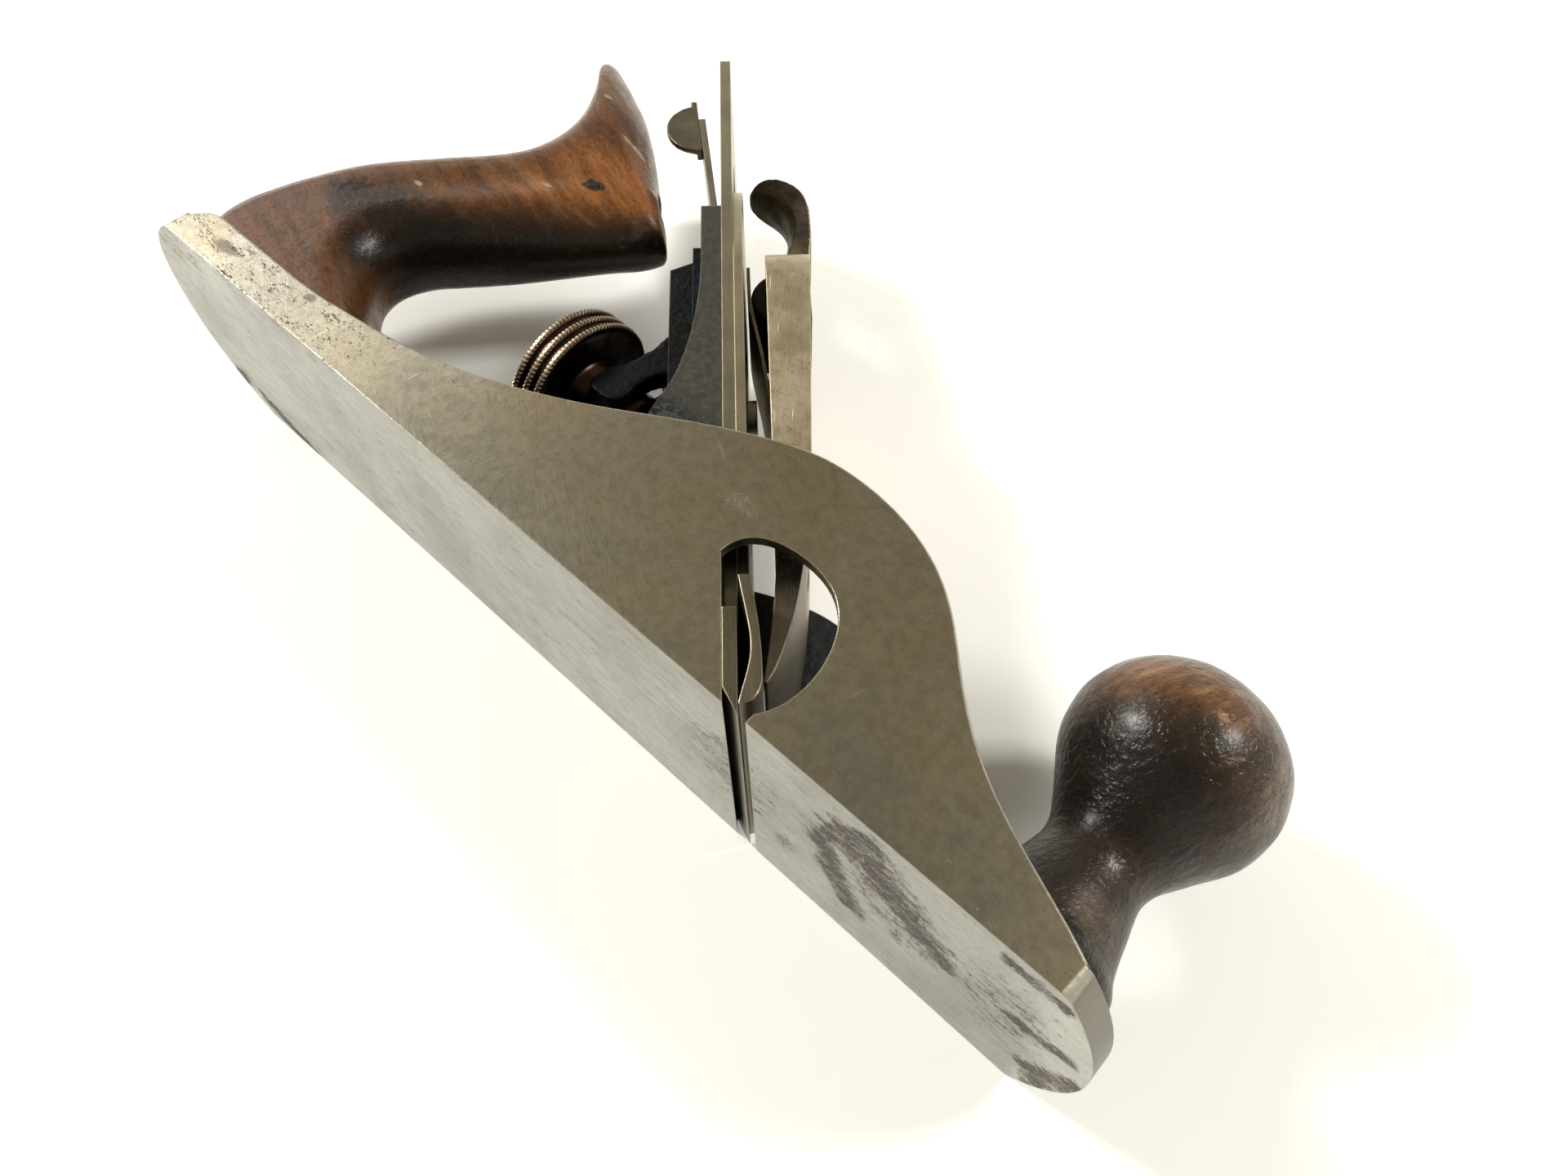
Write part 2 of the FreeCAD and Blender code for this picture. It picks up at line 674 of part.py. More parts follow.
def capProfile():
    """The cap iron's side view: flat, then arched off the iron down to its edge."""
    base, top = ironThick, ironThick + capThick
    tip = capEdge - ironThick / tanBed
    end = capShoulder + capArch
    under = [(24.0, 0.0), (18.0, 0.45), (13.5, 0.82), (9.5, 1.0), (5.3, 0.72), (2.2, 0.3)]
    over = [(0.7, 0.85, -0.9), (2.6, 0.95, -0.15), (5.6, 1.0, 0.0), (10.3, 0.9, 0.0), (14.0, 0.72, 0.0),
            (18.4, 0.4, 0.0), (25.0, 0.0, 0.0)]
    z0 = ironSide
    low = [Vector(base + h * capHump, s, z0) for s, h in under] + [Vector(base, tip, z0)]
    high = [Vector(base + 0.5, tip + 0.1, z0)]
    high += [Vector(top + h * (capHump - 0.2) + lift, s, z0) for s, h, lift in over]
    a, b = Vector(base, end, z0), Vector(top, end, z0)
    edges = [line(a, low[0]), spline(low), line(low[-1], high[0]), spline(high),
             line(high[-1], b), line(b, a)]
    return solidOf(edges, Vector(0, 0, planeWidth - 2 * ironSide))


def makeCapIron():
    half = ironNarrow / 2
    x0, x1 = 0.0, ironThick + capThick + capHump + 1.0
    low = -ironThick
    plan = wideBar(x0, x1, low - 1.0, capWideTop, half, capShoulder)
    plan = plan.fuse(archPlate(x0, x1, capShoulder - 1.0, capShoulder, capArch, half))
    cap = capProfile().common(plan)
    cap = cap.cut(slotted(capSlotLow + capSlotHalf, capSlotHigh - capSlotHalf, capSlotHalf, x0, x1))
    cap = cap.cut(rod(Vector(x0, capScrewS, mid), xAxis, capScrewRadius + runFit, x1))
    halfTip = yokeTipHalf + 1.5 * looseFit
    halfTongue = yokeTongueHalf + looseFit
    cap = cap.cut(block(x0, x1, yokeTipS - halfTip, yokeTipS + halfTip, mid - halfTongue, mid + halfTongue))
    return onBed(cap.removeSplitter())


def makeCapIronScrew():
    """The large flat screw that clamps the cap iron to the iron, headed at the back."""
    tail = ironThick + capThick + capScrewProud
    head = rod(Vector(-capScrewHeadHeight, capScrewS, mid), xAxis, capScrewHead, capScrewHeadHeight)
    shank = rod(Vector(-capScrewHeadHeight, capScrewS, mid), xAxis, capScrewRadius, capScrewHeadHeight + tail)
    cut = block(-2 * capScrewHeadHeight, -0.5 * capScrewHeadHeight, capScrewS - capScrewHead,
                capScrewS + capScrewHead, mid - screwSlot / 2, mid + screwSlot / 2)
    return onBed(head.fuse(shank).cut(cut))


# ---- lateral adjuster ----

def bendBack(shape):
    """Tip the free end of the lateral lever back, away from the iron."""
    bent = shape.copy()
    bent.rotate(Vector(-lateralSink - lateralThick, lateralBendS, 0), zAxis, lateralBend)
    return bent


def makeLateralLever():
    x0, x1 = -lateralSink - lateralThick, -lateralSink
    foot = rod(Vector(x0, rollerS, mid), xAxis, rollerEnd, lateralThick)
    neck = block(x0, x1, rollerS, lateralPivotS, mid - rollerEnd, mid + rollerEnd)
    body = block(x0, x1, lateralPivotS - lateralHalf, lateralBendS, mid - lateralHalf, mid + lateralHalf)
    corners = [(lateralBendS, -lateralHalf), (lateralBendS, lateralHalf), (lateralTop, lateralTipHalf),
               (lateralTop, -lateralTipHalf)]
    points = [Vector(x0, y, mid + z) for y, z in corners]
    stem = Part.Face(Part.makePolygon(points + points[:1])).extrude(Vector(lateralThick, 0, 0))
    knee = rod(Vector(x0, lateralBendS, mid - lateralHalf), zAxis, lateralThick, 2 * lateralHalf)
    near = block(x0, x1, lateralBendS - lateralThick, lateralBendS + lateralThick, 0, planeWidth)
    knee = knee.common(near)
    lever = foot.multiFuse([neck, body, bendBack(stem), knee])
    for s, radius in ((rollerS, rollerPinRadius), (lateralPivotS, lateralPinRadius)):
        lever = lever.cut(rod(Vector(x0 - 1.0, s, mid), xAxis, radius + runFit, lateralThick + 2.0))
    lever = onBed(lever)
    for s in tabRivetS:
        hole = rod(Vector(x0 - 1.0, s, mid), xAxis, tabRivetRadius + runFit, lateralThick + 2.0)
        lever = lever.cut(onBed(bendBack(hole)))
    return lever.removeSplitter()


def makeThumbTab():
    """A bent plate: its foot lies on the lever's back, its half-round ear stands off it."""
    x1 = -lateralSink - lateralThick
    x0 = x1 - tabThick
    right = mid + lateralTipHalf
    foot = block(x0, x1, tabLow, tabHigh + tabTip, mid - lateralTipHalf, right)
    centre = (tabLow + tabHigh) / 2
    radius = (tabHigh - tabLow) / 2
    z0 = right - tabThick
    a, b = Vector(x1, centre + radius, z0), Vector(x1, centre - radius, z0)
    oval = Part.Ellipse(a, Vector(x1 - tabDepth, centre, z0), Vector(x1, centre, z0))
    ear = Part.Face(Part.Wire(oval.toShape())).extrude(Vector(0, 0, tabThick))
    ear = ear.common(block(x1 - tabDepth, x1, b.y, a.y, z0, right))
    tab = foot.fuse(ear)
    for s in tabRivetS:
        tab = tab.cut(rod(Vector(x0, s, mid), xAxis, tabRivetRadius + runFit, tabThick))
    return onBed(bendBack(tab.removeSplitter()))


def makeTabRivets():
    x0, x1 = -lateralSink - lateralThick - tabThick, -lateralSink
    rivets = []
    for s in tabRivetS:
        shank = rod(Vector(x0, s, mid), xAxis, tabRivetRadius, x1 - x0)
        head = rod(Vector(x0 - 0.7, s, mid), xAxis, 1.7 * tabRivetRadius, 0.7)
        rivets.append(onBed(bendBack(shank.fuse(head))))
    return Part.makeCompound(rivets)


def makeLateralRivet():
    back = -frogPlate - backStep
    shank = rod(Vector(back, lateralPivotS, mid), xAxis, lateralPinRadius, -lateralSink - back)
    head = rod(Vector(back - lateralPinHeadHeight, lateralPivotS, mid), xAxis, lateralPinHead,
               lateralPinHeadHeight)
    return onBed(shank.fuse(head))


def makeRoller():
    start = Vector(-lateralSink + touchGap, rollerS, mid)
    thick = rollerThick
    ring = rod(start, xAxis, rollerRadius, thick)
    return onBed(ring.cut(rod(start, xAxis, rollerPinRadius + runFit, thick)))


def makeRollerRivet():
    x0 = -lateralSink - lateralThick
    length = lateralThick + touchGap + rollerThick
    return onBed(rod(Vector(x0, rollerS, mid), xAxis, rollerPinRadius, length))


# ---- lever cap ----

def leverFaceAt(s):
    """Height of the lever cap's front face off the bed at a distance up the bed."""
    span = leverShoulder - leverScrewS
    return leverFront - leverTaper + 2 * leverTaper * (s - leverScrewS) / span


def leverLipRest():
    """Top of the cap iron's arch, where the lip bears."""
    return ironThick + capThick + capHump - 0.2 + touchGap


def makeLeverCap():
    half = leverWidth / 2
    z0 = mid - half
    top = leverShoulder + leverArch
    rest = leverLipRest()
    faceLow, faceHigh = leverFaceAt(leverScrewS - 8.0), leverFaceAt(top)
    drop = faceLow - rest
    nose = [(0.0, 0.0), (2.5, 0.17), (6.6, 0.35), (12.0, 0.53), (21.5, 0.76)]
    front = [Vector(rest + leverLipThick + h * (drop - leverLipThick), leverLip + s, z0) for s, h in nose]
    front.append(Vector(faceLow, leverScrewS - 8.0, z0))
    rise = leverRear - rest
    heel = [(0.3, 0.0), (3.4, 0.2), (9.0, 0.52), (14.6, 0.78)]
    rear = [Vector(rest + h * rise, leverLip + s, z0) for s, h in heel]
    rear.append(Vector(leverRear, leverLip + 22.0, z0))
    a, b = Vector(faceHigh, top, z0), Vector(leverRear, top, z0)
    edges = [spline(front), line(front[-1], a), line(a, b), line(b, rear[-1]), spline(rear[::-1]),
             line(rear[0], front[0])]
    cap = solidOf(edges, Vector(0, 0, leverWidth))
    cap = cap.common(archPlate(0, faceHigh + 5.0, 0, leverShoulder, leverArch, half))
    floor = leverFaceAt(leverScrewS) - leverPlate
    pocket = block(0, floor, leverLip + 22.0, camSlotLow, z0 + leverWall, z0 + leverWidth - leverWall)
    cap = cap.cut(pocket)
    boss = block(springFaceTop() + touchGap, floor + 0.5, springFoot, springBossTop,
                 mid - springBossHalf, mid + springBossHalf)
    cap = cap.fuse(boss)
    for cutter in leverCuts():
        cap = cap.cut(cutter)
    return onBed(cap.removeSplitter())


def leverCuts():
    far = leverFront + 10.0
    eye = leverScrewS - leverSlip
    keyhole = [slotted(eye, leverScrewS, leverScrewRadius + looseFit, 0, far),
               rod(Vector(0, eye, mid), xAxis, leverScrewHead + looseFit, far)]
    camSlot = block(0, far, camSlotLow, ironTop, mid - camHalf - looseFit, mid + camHalf + looseFit)
    pin = rod(Vector(camPinD, camPinS, mid - camPinHalf), zAxis, camPinRadius + runFit, 2 * camPinHalf)
    rivet = rod(Vector(0, springRivetS, mid), xAxis, springRivetRadius + runFit,
                springFaceTop() + touchGap + 2.5)
    return keyhole + [camSlot, pin, rivet]


def camSection(z):
    """The cam lever's thumb piece in one plane: thick at mid-width, thin at its sides."""
    blend = ((z - mid) / camHalf) ** 2
    front = camPinD + camFront
    outer = [(0.9, 0.0), (0.9, 9.0), (0.1, 18.0), (0.0, 28.0), (2.0, 35.6), (6.5, 39.0), (11.0, 39.4),
             (12.8, 38.0)]
    middle = [(5.4, 0.0), (5.4, 19.0), (5.0, 25.0), (7.2, 31.2), (10.4, 35.0), (12.6, 37.2)]
    side = [(5.4, 0.0), (3.6, 17.5), (2.0, 24.5), (3.5, 33.2), (7.4, 36.6), (12.7, 37.3)]
    over = [Vector(front - x, camPinS + y, z) for x, y in outer]
    under = [Vector(front - a[0] - blend * (b[0] - a[0]), camPinS + a[1] + blend * (b[1] - a[1]), z)
             for a, b in zip(middle, side)]
    edges = [line(over[0], over[1]), spline(over[1:]), line(over[-1], under[-1]),
             spline(under[::-1]), line(under[0], over[0])]
    return Part.Wire(edges)


def makeCamLever():
    """The cam that locks the lever cap, with its curled thumb piece."""
    steps = [camHalf * t for t in (-1.0, -0.75, -0.45, 0.0, 0.45, 0.75, 1.0)]
    thumb = Part.makeLoft([camSection(mid + z) for z in steps], True, True)
    front, low = camPinD + camFront, camPinD - camThrow - camRadius
    waist, crown = camPinS + 16.0, camPinS + 31.0
    bend = front - camStem
    taper = [(camPinS - 1.0, -camHalf), (waist, -camHalf), (crown, -camTipHalf), (ironTop, -camTipHalf)]
    outline = [Vector(0, s, mid + z) for s, z in taper + [(s, -z) for s, z in taper[::-1]]]
    plan = Part.Face(Part.makePolygon(outline + outline[:1])).extrude(Vector(front + 1.0, 0, 0))
    tongue = Part.Ellipse(Vector(0, ironTop, mid), camTongue, camTipHalf)
    tongue.Center = Vector(bend, 0, mid)
    tongue.Axis = yAxis
    tongue.XAxis = xAxis
    end = Part.Face(Part.Wire(tongue.toShape())).extrude(Vector(0, ironTop, 0))
    end = end.fuse(block(bend, front, 0, ironTop, mid - camHalf, mid + camHalf))
    thumb = thumb.common(plan).common(end)
    cam = rod(Vector(camPinD - camThrow, camPinS, mid - camHalf), zAxis, camRadius, 2 * camHalf)
    cam = cam.common(block(low, front - 0.9, 0, ironTop, 0, planeWidth))
    hole = rod(Vector(camPinD, camPinS, mid - camHalf), zAxis, camPinRadius + runFit, 2 * camHalf)
    return onBed(cam.fuse(thumb).cut(hole).removeSplitter())


def makeCamPin():
    return onBed(rod(Vector(camPinD, camPinS, mid - camPinHalf), zAxis, camPinRadius, 2 * camPinHalf))


def springFaceTop():
    """Top of the spring where it is riveted under the lever cap."""
    return leverRear + 0.8


def makeSpring():
    """A bowed leaf, riveted at its lower end, pressed to the cap iron by the cam."""
    z0 = mid - springHalf
    high = springFaceTop()
    low = camPinD - camThrow - camRadius - touchGap
    drop = high - low
    bow = [(0.18, 0.0), (0.35, 0.20), (0.51, 0.43), (0.67, 0.73), (0.81, 0.95), (1.0, 1.0)]
    length = springEnd - springFoot
    top = [Vector(high - h * drop, springFoot + s * length, z0) for s, h in bow]
    thick = Vector(springThick, 0, 0)
    bottom = [p - thick for p in top]
    foot = Vector(high, springFoot, z0)
    up = Vector(0, 1, 0)
    edges = [line(foot, top[0]), spline(top, up, up), line(top[-1], bottom[-1]),
             spline(bottom[::-1], -up, -up), line(bottom[0], foot - thick), line(foot - thick, foot)]
    leaf = solidOf(edges, Vector(0, 0, 2 * springHalf))
    leaf = leaf.cut(rod(Vector(0, springRivetS, mid), xAxis, springRivetRadius + runFit, 2 * high))
    return onBed(leaf)


def makeSpringRivet():
    start = springFaceTop() - springThick
    shank = rod(Vector(start, springRivetS, mid), xAxis, springRivetRadius, springThick + 2.0)
    head = rod(Vector(start - 0.8, springRivetS, mid), xAxis, 1.7 * springRivetRadius, 0.8)
    return onBed(shank.fuse(head))


def makeLeverCapScrew():
    under = leverFaceAt(leverScrewS + leverScrewHead) + touchGap
    shank = rod(Vector(-leverScrewDepth, leverScrewS, mid), xAxis, leverScrewRadius, leverScrewDepth + under)
    head = rod(Vector(under, leverScrewS, mid), xAxis, leverScrewHead, leverScrewHeadHeight)
    rim = [e for e in head.Edges if e.BoundBox.XMin > under + 0.5 and e.BoundBox.XLength < 1e-6]
    head = head.makeFillet(0.4 * leverScrewHeadHeight, rim)
    cut = block(under + 0.6 * leverScrewHeadHeight, under + 2 * leverScrewHeadHeight,
                leverScrewS - leverScrewHead, leverScrewS + leverScrewHead,
                mid - screwSlot / 2, mid + screwSlot / 2)
    return onBed(shank.fuse(head).cut(cut))


# ---- handles ----

def toteSection(z, share):
    """The rear handle's outline in one upright plane; share is 0 at mid-plane, 1 at a side."""
    base = soleThickness + totePad
    radius, grow = toteThick / 2, toteHeight / toteDrawn
    back = [(-58.0, 0.0, 1.0), (-65.4, 4.8, 1.0), (-68.2, 11.8, 1.0), (-68.2, 18.1, 1.0), (-66.8, 23.9, 1.0),
            (-64.8, 30.2, 1.0), (-59.4, 42.2, 1.0), (-50.5, 54.0, 1.0), (-40.4, 65.6, 1.0),
            (-37.0, 71.6, 1.0), (-36.3, 78.2, 1.0)]
    # towards the sides the horn thins to one point and the front corner to another
    root, corner = Vector(-26.0, 84.0, 0), Vector(-14.0, 66.0, 0)
    horn = [(-36.9, 85.4, root), (-40.8, 93.0, root), (-46.2, 100.6, root), (-51.6, 106.6, root),
            (-50.6, 108.6, root), (-47.6, 108.3, root), (-43.0, 106.5, root), (-36.2, 103.4, root),
            (-29.0, 99.8, root), (-22.0, 95.2, root)]
    slope = [(-16.3, 91.0, 1.0), (-8.8, 85.0, 0.8), (-1.2, 79.2, corner)]
    front = [(7.4, 72.0, corner), (2.9, 67.4, corner), (-2.7, 61.9, corner), (-12.9, 50.4, 1.0),
             (-23.6, 38.9, 1.0), (-28.6, 33.0, 1.0), (-30.3, 28.3, 1.0), (-29.1, 23.4, 0.9),
             (-25.2, 18.8, 0.7), (-18.0, 14.0, 0.5), (-9.0, 10.6, 0.35), (0.0, 8.0, 0.25)]
    loop = back + horn + slope + front + [(0.0, 0.0, 0.0)]
    drawn = []
    for n, (x, y, depth) in enumerate(loop):
        before, after = loop[n - 1], loop[(n + 1) % len(loop)]
        along = Vector(after[0] - before[0], after[1] - before[1], 0).normalize()
        if depth in (root, corner):
            move = (depth - Vector(x, y, 0)) * grow * share * (0.85 if depth == root else 0.55)
        elif y == 0.0:
            move = Vector(-0.3 * radius if x == 0.0 else radius, 0, 0) * share
        elif x == 0.0:
            move = Vector(-0.3, -depth, 0) * radius * share
        else:
            move = Vector(along.y, -along.x, 0) * radius * share * depth
        drawn.append(Vector(toteX + grow * x, base + grow * y, z) + move)
    split = len(loop) - len(front) - 1
    rise, fall, toe = drawn[:split], drawn[split:-1], drawn[-1]
    edges = [spline(rise), line(rise[-1], fall[0]), spline(fall), line(fall[-1], toe), line(toe, rise[0])]
    return Part.Wire(edges)


def makeTote():
    """The rear handle: round all over, horn above the hand, sloping top and hollow front."""
    base = soleThickness + totePad
    half = toteThick / 2
    steps = [(1.0, 0.85), (0.92, 0.61), (0.8, 0.4), (0.6, 0.2), (0.35, 0.063)]
    left = [toteSection(mid - z * half, share) for z, share in steps]
    right = [toteSection(mid + z * half, share) for z, share in steps[::-1]]
    tote = Part.makeLoft(left + [toteSection(mid, 0.0)] + right, True, True)
    socket = rod(Vector(toteRodX, base - 1.0, mid), yAxis, toteBossRadius + looseFit,
                 toteBossHeight + 1.0 + looseFit)
    axis = rodAxis()
    foot = toteRodFoot()
    hole = rod(foot, axis, rodRadius + looseFit, toteRodLength + 20.0)
    well = toteNutHead()
    barrel = rod(well - axis * nutLength, axis, nutBarrel + looseFit, nutLength + 20.0)
    head = rod(well, axis, nutHead + looseFit, 30.0)
    for cutter in (socket, hole, barrel, head):
        tote = tote.cut(cutter)
    return tote


def toteNutHead():
    """Underside of the rear nut's head, on the rod's axis."""
    return toteRodFoot() + rodAxis() * (toteRodLength - 1.0)


def makeToteRod():
    axis = rodAxis()
    start = toteRodFoot() - axis * ((soleThickness - rodBase) / axis.y)
    end = toteNutHead() - axis * 2.0
    return rod(start, axis, rodRadius, (end - start).Length)


def nut(under, axis):
    """A slotted round nut: wide head, and a long barrel that runs down the rod."""
    head = rod(under, axis, nutHead, nutHeadHeight)
    barrel = rod(under - axis * nutLength, axis, nutBarrel, nutLength)
    bore = rod(under - axis * (nutLength + 1.0), axis, rodRadius + runFit, nutLength)
    along = zAxis.cross(axis)
    corner = under + axis * (0.5 * nutHeadHeight) - zAxis * (0.5 * screwSlot) - along * nutHead
    cut = Part.makeBox(screwSlot, 2 * nutHead, nutHeadHeight)
    cut.Placement = FreeCAD.Placement(corner, FreeCAD.Rotation(zAxis, along, axis, "ZXY"))
    return head.fuse(barrel).cut(bore).cut(cut)


def makeToteNut():
    return nut(toteNutHead(), rodAxis())


def makeKnob():
    """The ball knob, turned about its rod."""
    base = soleThickness + knobBossHeight
    ringTop = knobRing + 0.3
    profile = [(knobBaseRadius, ringTop), (knobBaseRadius + 0.9, ringTop + 1.6)]
    upper = [(knobBaseRadius - 0.5, 7.6), (knobNeck + 1.5, 14.2), (knobNeck, 20.6), (knobNeck + 2.6, 27.4),
             (knobNeck + 6.9, 34.2), (knobRadius - 0.9, 39.0), (knobRadius, 44.5), (knobRadius - 0.9, 49.6),
             (knobRadius - 4.2, 54.9), (knobRadius - 9.2, 59.0)]
    profile += [(r, y * knobHeight / knobDrawn) for r, y in upper]
    curve = [Vector(knobX + r, base + y, mid) for r, y in profile]
    crown = Vector(knobX + nutHead + 1.2, base + knobHeight - 1.2, mid)
    centre, top = Vector(knobX, base, mid), Vector(knobX, crown.y, mid)
    foot = Vector(knobX + knobBaseRadius, base, mid)
    edges = [line(centre, foot), line(foot, curve[0]), spline(curve + [crown]), line(crown, top),
             line(top, centre)]
    face = Part.Face(Part.Wire(edges))
    knob = face.revolve(Vector(knobX, 0, mid), yAxis, 360)
    well = knobNutHead()
    for start, radius, length in ((centre, rodRadius + looseFit, knobHeight),
                                  (well - yAxis * nutLength, nutBarrel + looseFit, 2 * nutLength),
                                  (well, nutHead + looseFit, nutLength)):
        knob = knob.cut(rod(start, yAxis, radius, length))
    return knob


def knobNutHead():
    return Vector(knobX, soleThickness + knobBossHeight + knobHeight - 1.2 - nutHeadHeight, mid)


def makeKnobRod():
    start = Vector(knobX, rodBase, mid)
    return rod(start, yAxis, rodRadius, knobNutHead().y - 2.0 - rodBase)


def makeKnobNut():
    return nut(knobNutHead(), yAxis)


pieces = {
    "body": makeBody,
    "frog": makeFrog,
    "frog_screws": makeFrogScrews,
    "frog_washers": makeFrogWashers,
    "frog_adjusting_screw": makeFrogFeedScrew,
    "frog_clip": makeFrogClip,
    "frog_clip_screw": makeFrogClipScrew,
    "y_lever": makeYoke,
    "y_lever_pin": lambda: yokePin(0, ribInset + ribWall),
    "adjusting_wheel": makeWheel,
    "adjusting_stud": makeStud,
    "iron": makeIron,
    "cap_iron": makeCapIron,
    "cap_iron_screw": makeCapIronScrew,
    "lateral_lever": makeLateralLever,
    "thumb_tab": makeThumbTab,
    "thumb_tab_rivets": makeTabRivets,
    "lateral_rivet": makeLateralRivet,
    "lateral_roller": makeRoller,
    "roller_rivet": makeRollerRivet,
    "lever_cap": makeLeverCap,
    "cam_lever": makeCamLever,
    "cam_pin": makeCamPin,
    "lever_cap_spring": makeSpring,
    "spring_rivet": makeSpringRivet,
    "lever_cap_screw": makeLeverCapScrew,
    "tote": makeTote,
    "tote_rod": makeToteRod,
    "tote_nut": makeToteNut,
    "knob": makeKnob,
    "knob_rod": makeKnobRod,
    "knob_nut": makeKnobNut,
}

os.makedirs("parts", exist_ok=True)
for name, make in pieces.items():
    save(name, make())
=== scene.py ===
import bpy
import bmesh
import json
import math
from types import SimpleNamespace
from mathutils import Euler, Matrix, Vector, noise


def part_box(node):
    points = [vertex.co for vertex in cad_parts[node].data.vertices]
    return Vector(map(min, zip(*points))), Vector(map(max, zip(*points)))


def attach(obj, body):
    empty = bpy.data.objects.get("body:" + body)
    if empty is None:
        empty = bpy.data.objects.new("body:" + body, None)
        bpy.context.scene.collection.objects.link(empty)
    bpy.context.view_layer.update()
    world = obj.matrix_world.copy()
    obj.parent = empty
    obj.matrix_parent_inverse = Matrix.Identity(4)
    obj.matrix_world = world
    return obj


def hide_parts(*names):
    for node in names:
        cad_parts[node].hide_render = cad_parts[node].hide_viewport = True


# A bench rabbet plane lying on its left cheek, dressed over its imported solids.
# X runs to the toe, Y away from the sole, Z up from the bench. Values below are in millimetres.

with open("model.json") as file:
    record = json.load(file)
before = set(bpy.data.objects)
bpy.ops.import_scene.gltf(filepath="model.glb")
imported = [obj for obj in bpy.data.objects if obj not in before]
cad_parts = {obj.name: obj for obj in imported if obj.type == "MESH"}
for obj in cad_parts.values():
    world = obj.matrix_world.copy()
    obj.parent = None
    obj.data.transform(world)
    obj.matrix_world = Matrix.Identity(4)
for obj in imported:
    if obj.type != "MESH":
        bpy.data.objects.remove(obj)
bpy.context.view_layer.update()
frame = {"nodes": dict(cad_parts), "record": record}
nodes = frame["nodes"]
mm = 0.001
scene = bpy.context.scene
bodyOfNode = {n: body for body, names in frame["record"]["behaviour"]["bodies"].items() for n in names}
print("frame loaded:", len(nodes), "solids")


def boxOf(name):
    # lowest and highest corner of a solid, in millimetres
    low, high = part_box(name)
    return Vector(low) / mm, Vector(high) / mm


def middleOf(name):
    low, high = boxOf(name)
    return 0.5 * (low + high)


def addObject(name, data):
    made = bpy.data.objects.new(name, data)
    scene.collection.objects.link(made)
    return made


planeMid = middleOf("body").z

cameraView = {
    "place": (58.717, -47.644, 205.643),
    "turn": (32.4349, -1.3744, 41.874),    # degrees about X, Y and Z
    "lens": 26.625,
    "sensor": 36.0,
    "shift": (-0.0289, -0.007),
}


def addCamera():
    data = bpy.data.cameras.new("benchCamera")
    data.lens = cameraView["lens"]
    data.sensor_width = cameraView["sensor"]
    data.shift_x, data.shift_y = cameraView["shift"]
    data.clip_start = 0.005
    data.clip_end = 50.0
    camera = addObject("benchCamera", data)
    camera.location = Vector(cameraView["place"]) * mm
    camera.rotation_euler = Euler([math.radians(a) for a in cameraView["turn"]])
    scene.camera = camera


addCamera()
print("camera placed")


class field:
    # what a node puts out: it takes + - * / and comparisons like a number, and a vector does so axis by axis
    def __init__(self, socket):
        self.socket, self.tree = socket, socket.id_data

    def __add__(self, other):
        return maths("ADD", self, other)

    def __sub__(self, other):
        return maths("SUBTRACT", self, other)

    def __rsub__(self, other):
        return maths("SUBTRACT", other, self)

    def __mul__(self, other):
        return maths("MULTIPLY", self, other)

    def __truediv__(self, other):
        return maths("DIVIDE", self, other)

    def __rtruediv__(self, other):
        return maths("DIVIDE", other, self)

    def __gt__(self, other):
        return maths("GREATER_THAN", self, other)

    def __lt__(self, other):
        return maths("LESS_THAN", self, other)

    def __abs__(self):
        return maths("ABSOLUTE", self, 0.0)


def plug(socket, value):
    # a socket takes a link from a field, or a plain value
    if isinstance(value, field):
        socket.id_data.links.new(value.socket, socket)
    else:
        socket.default_value = (*value, 1.0) if socket.type == "RGBA" else value


def addNode(tree, kind, values=(), **settings):
    # values go to the node's sockets, by name or number, and settings to the node itself
    node = tree.nodes.new(kind)
    for key, value in settings.items():
        setattr(node, key, value)
    for key, value in dict(values).items():
        plug(node.inputs[key], value)
    return node


def maths(operation, a, b, clamp=False):
    first = a if isinstance(a, field) else b
    if first.socket.type == "VECTOR":
        node = addNode(first.tree, "ShaderNodeVectorMath", {0: a, 1: b}, operation=operation)
    else:
        node = addNode(first.tree, "ShaderNodeMath", {0: a, 1: b}, operation=operation, use_clamp=clamp)
    return field(node.outputs[0])


def vectorMaths(operation, a, values, out="Value"):
    return field(addNode(a.tree, "ShaderNodeVectorMath", {0: a, **values}, operation=operation).outputs[out])


def lengthOf(a):
    return vectorMaths("LENGTH", a, {})


def dot(a, b):
    return vectorMaths("DOT_PRODUCT", a, {1: b})


def scaled(a, size):
    return vectorMaths("SCALE", a, {"Scale": size}, "Vector")


def biggest(top, *others):
    for v in others:
        top = maths("MAXIMUM", top, v)
    return top


def fade(value, low, high, start=0.0, end=1.0):
    # smooth step from start at low to end at high
    values = dict(enumerate((value, low, high, start, end)))
    return field(addNode(value.tree, "ShaderNodeMapRange", values, interpolation_type="SMOOTHSTEP").outputs[0])


def mixColour(share, a, b):
    return field(addNode(share.tree, "ShaderNodeMix", {0: share, 6: a, 7: b}, data_type="RGBA").outputs[2])


def mixValue(share, a, b):
    return field(addNode(share.tree, "ShaderNodeMix", {0: share, 2: a, 3: b}, data_type="FLOAT").outputs[0])


def noiseField(vector, scale, detail=3.0, rough=0.6):
    values = {"Vector": vector, "Scale": scale, "Detail": detail, "Roughness": rough}
    return field(addNode(vector.tree, "ShaderNodeTexNoise", values).outputs["Fac"])


def split(vector):
    return [field(s) for s in addNode(vector.tree, "ShaderNodeSeparateXYZ", {0: vector}).outputs]


def join(x, y, z):
    return field(addNode(x.tree, "ShaderNodeCombineXYZ", {0: x, 1: y, 2: z}).outputs[0])


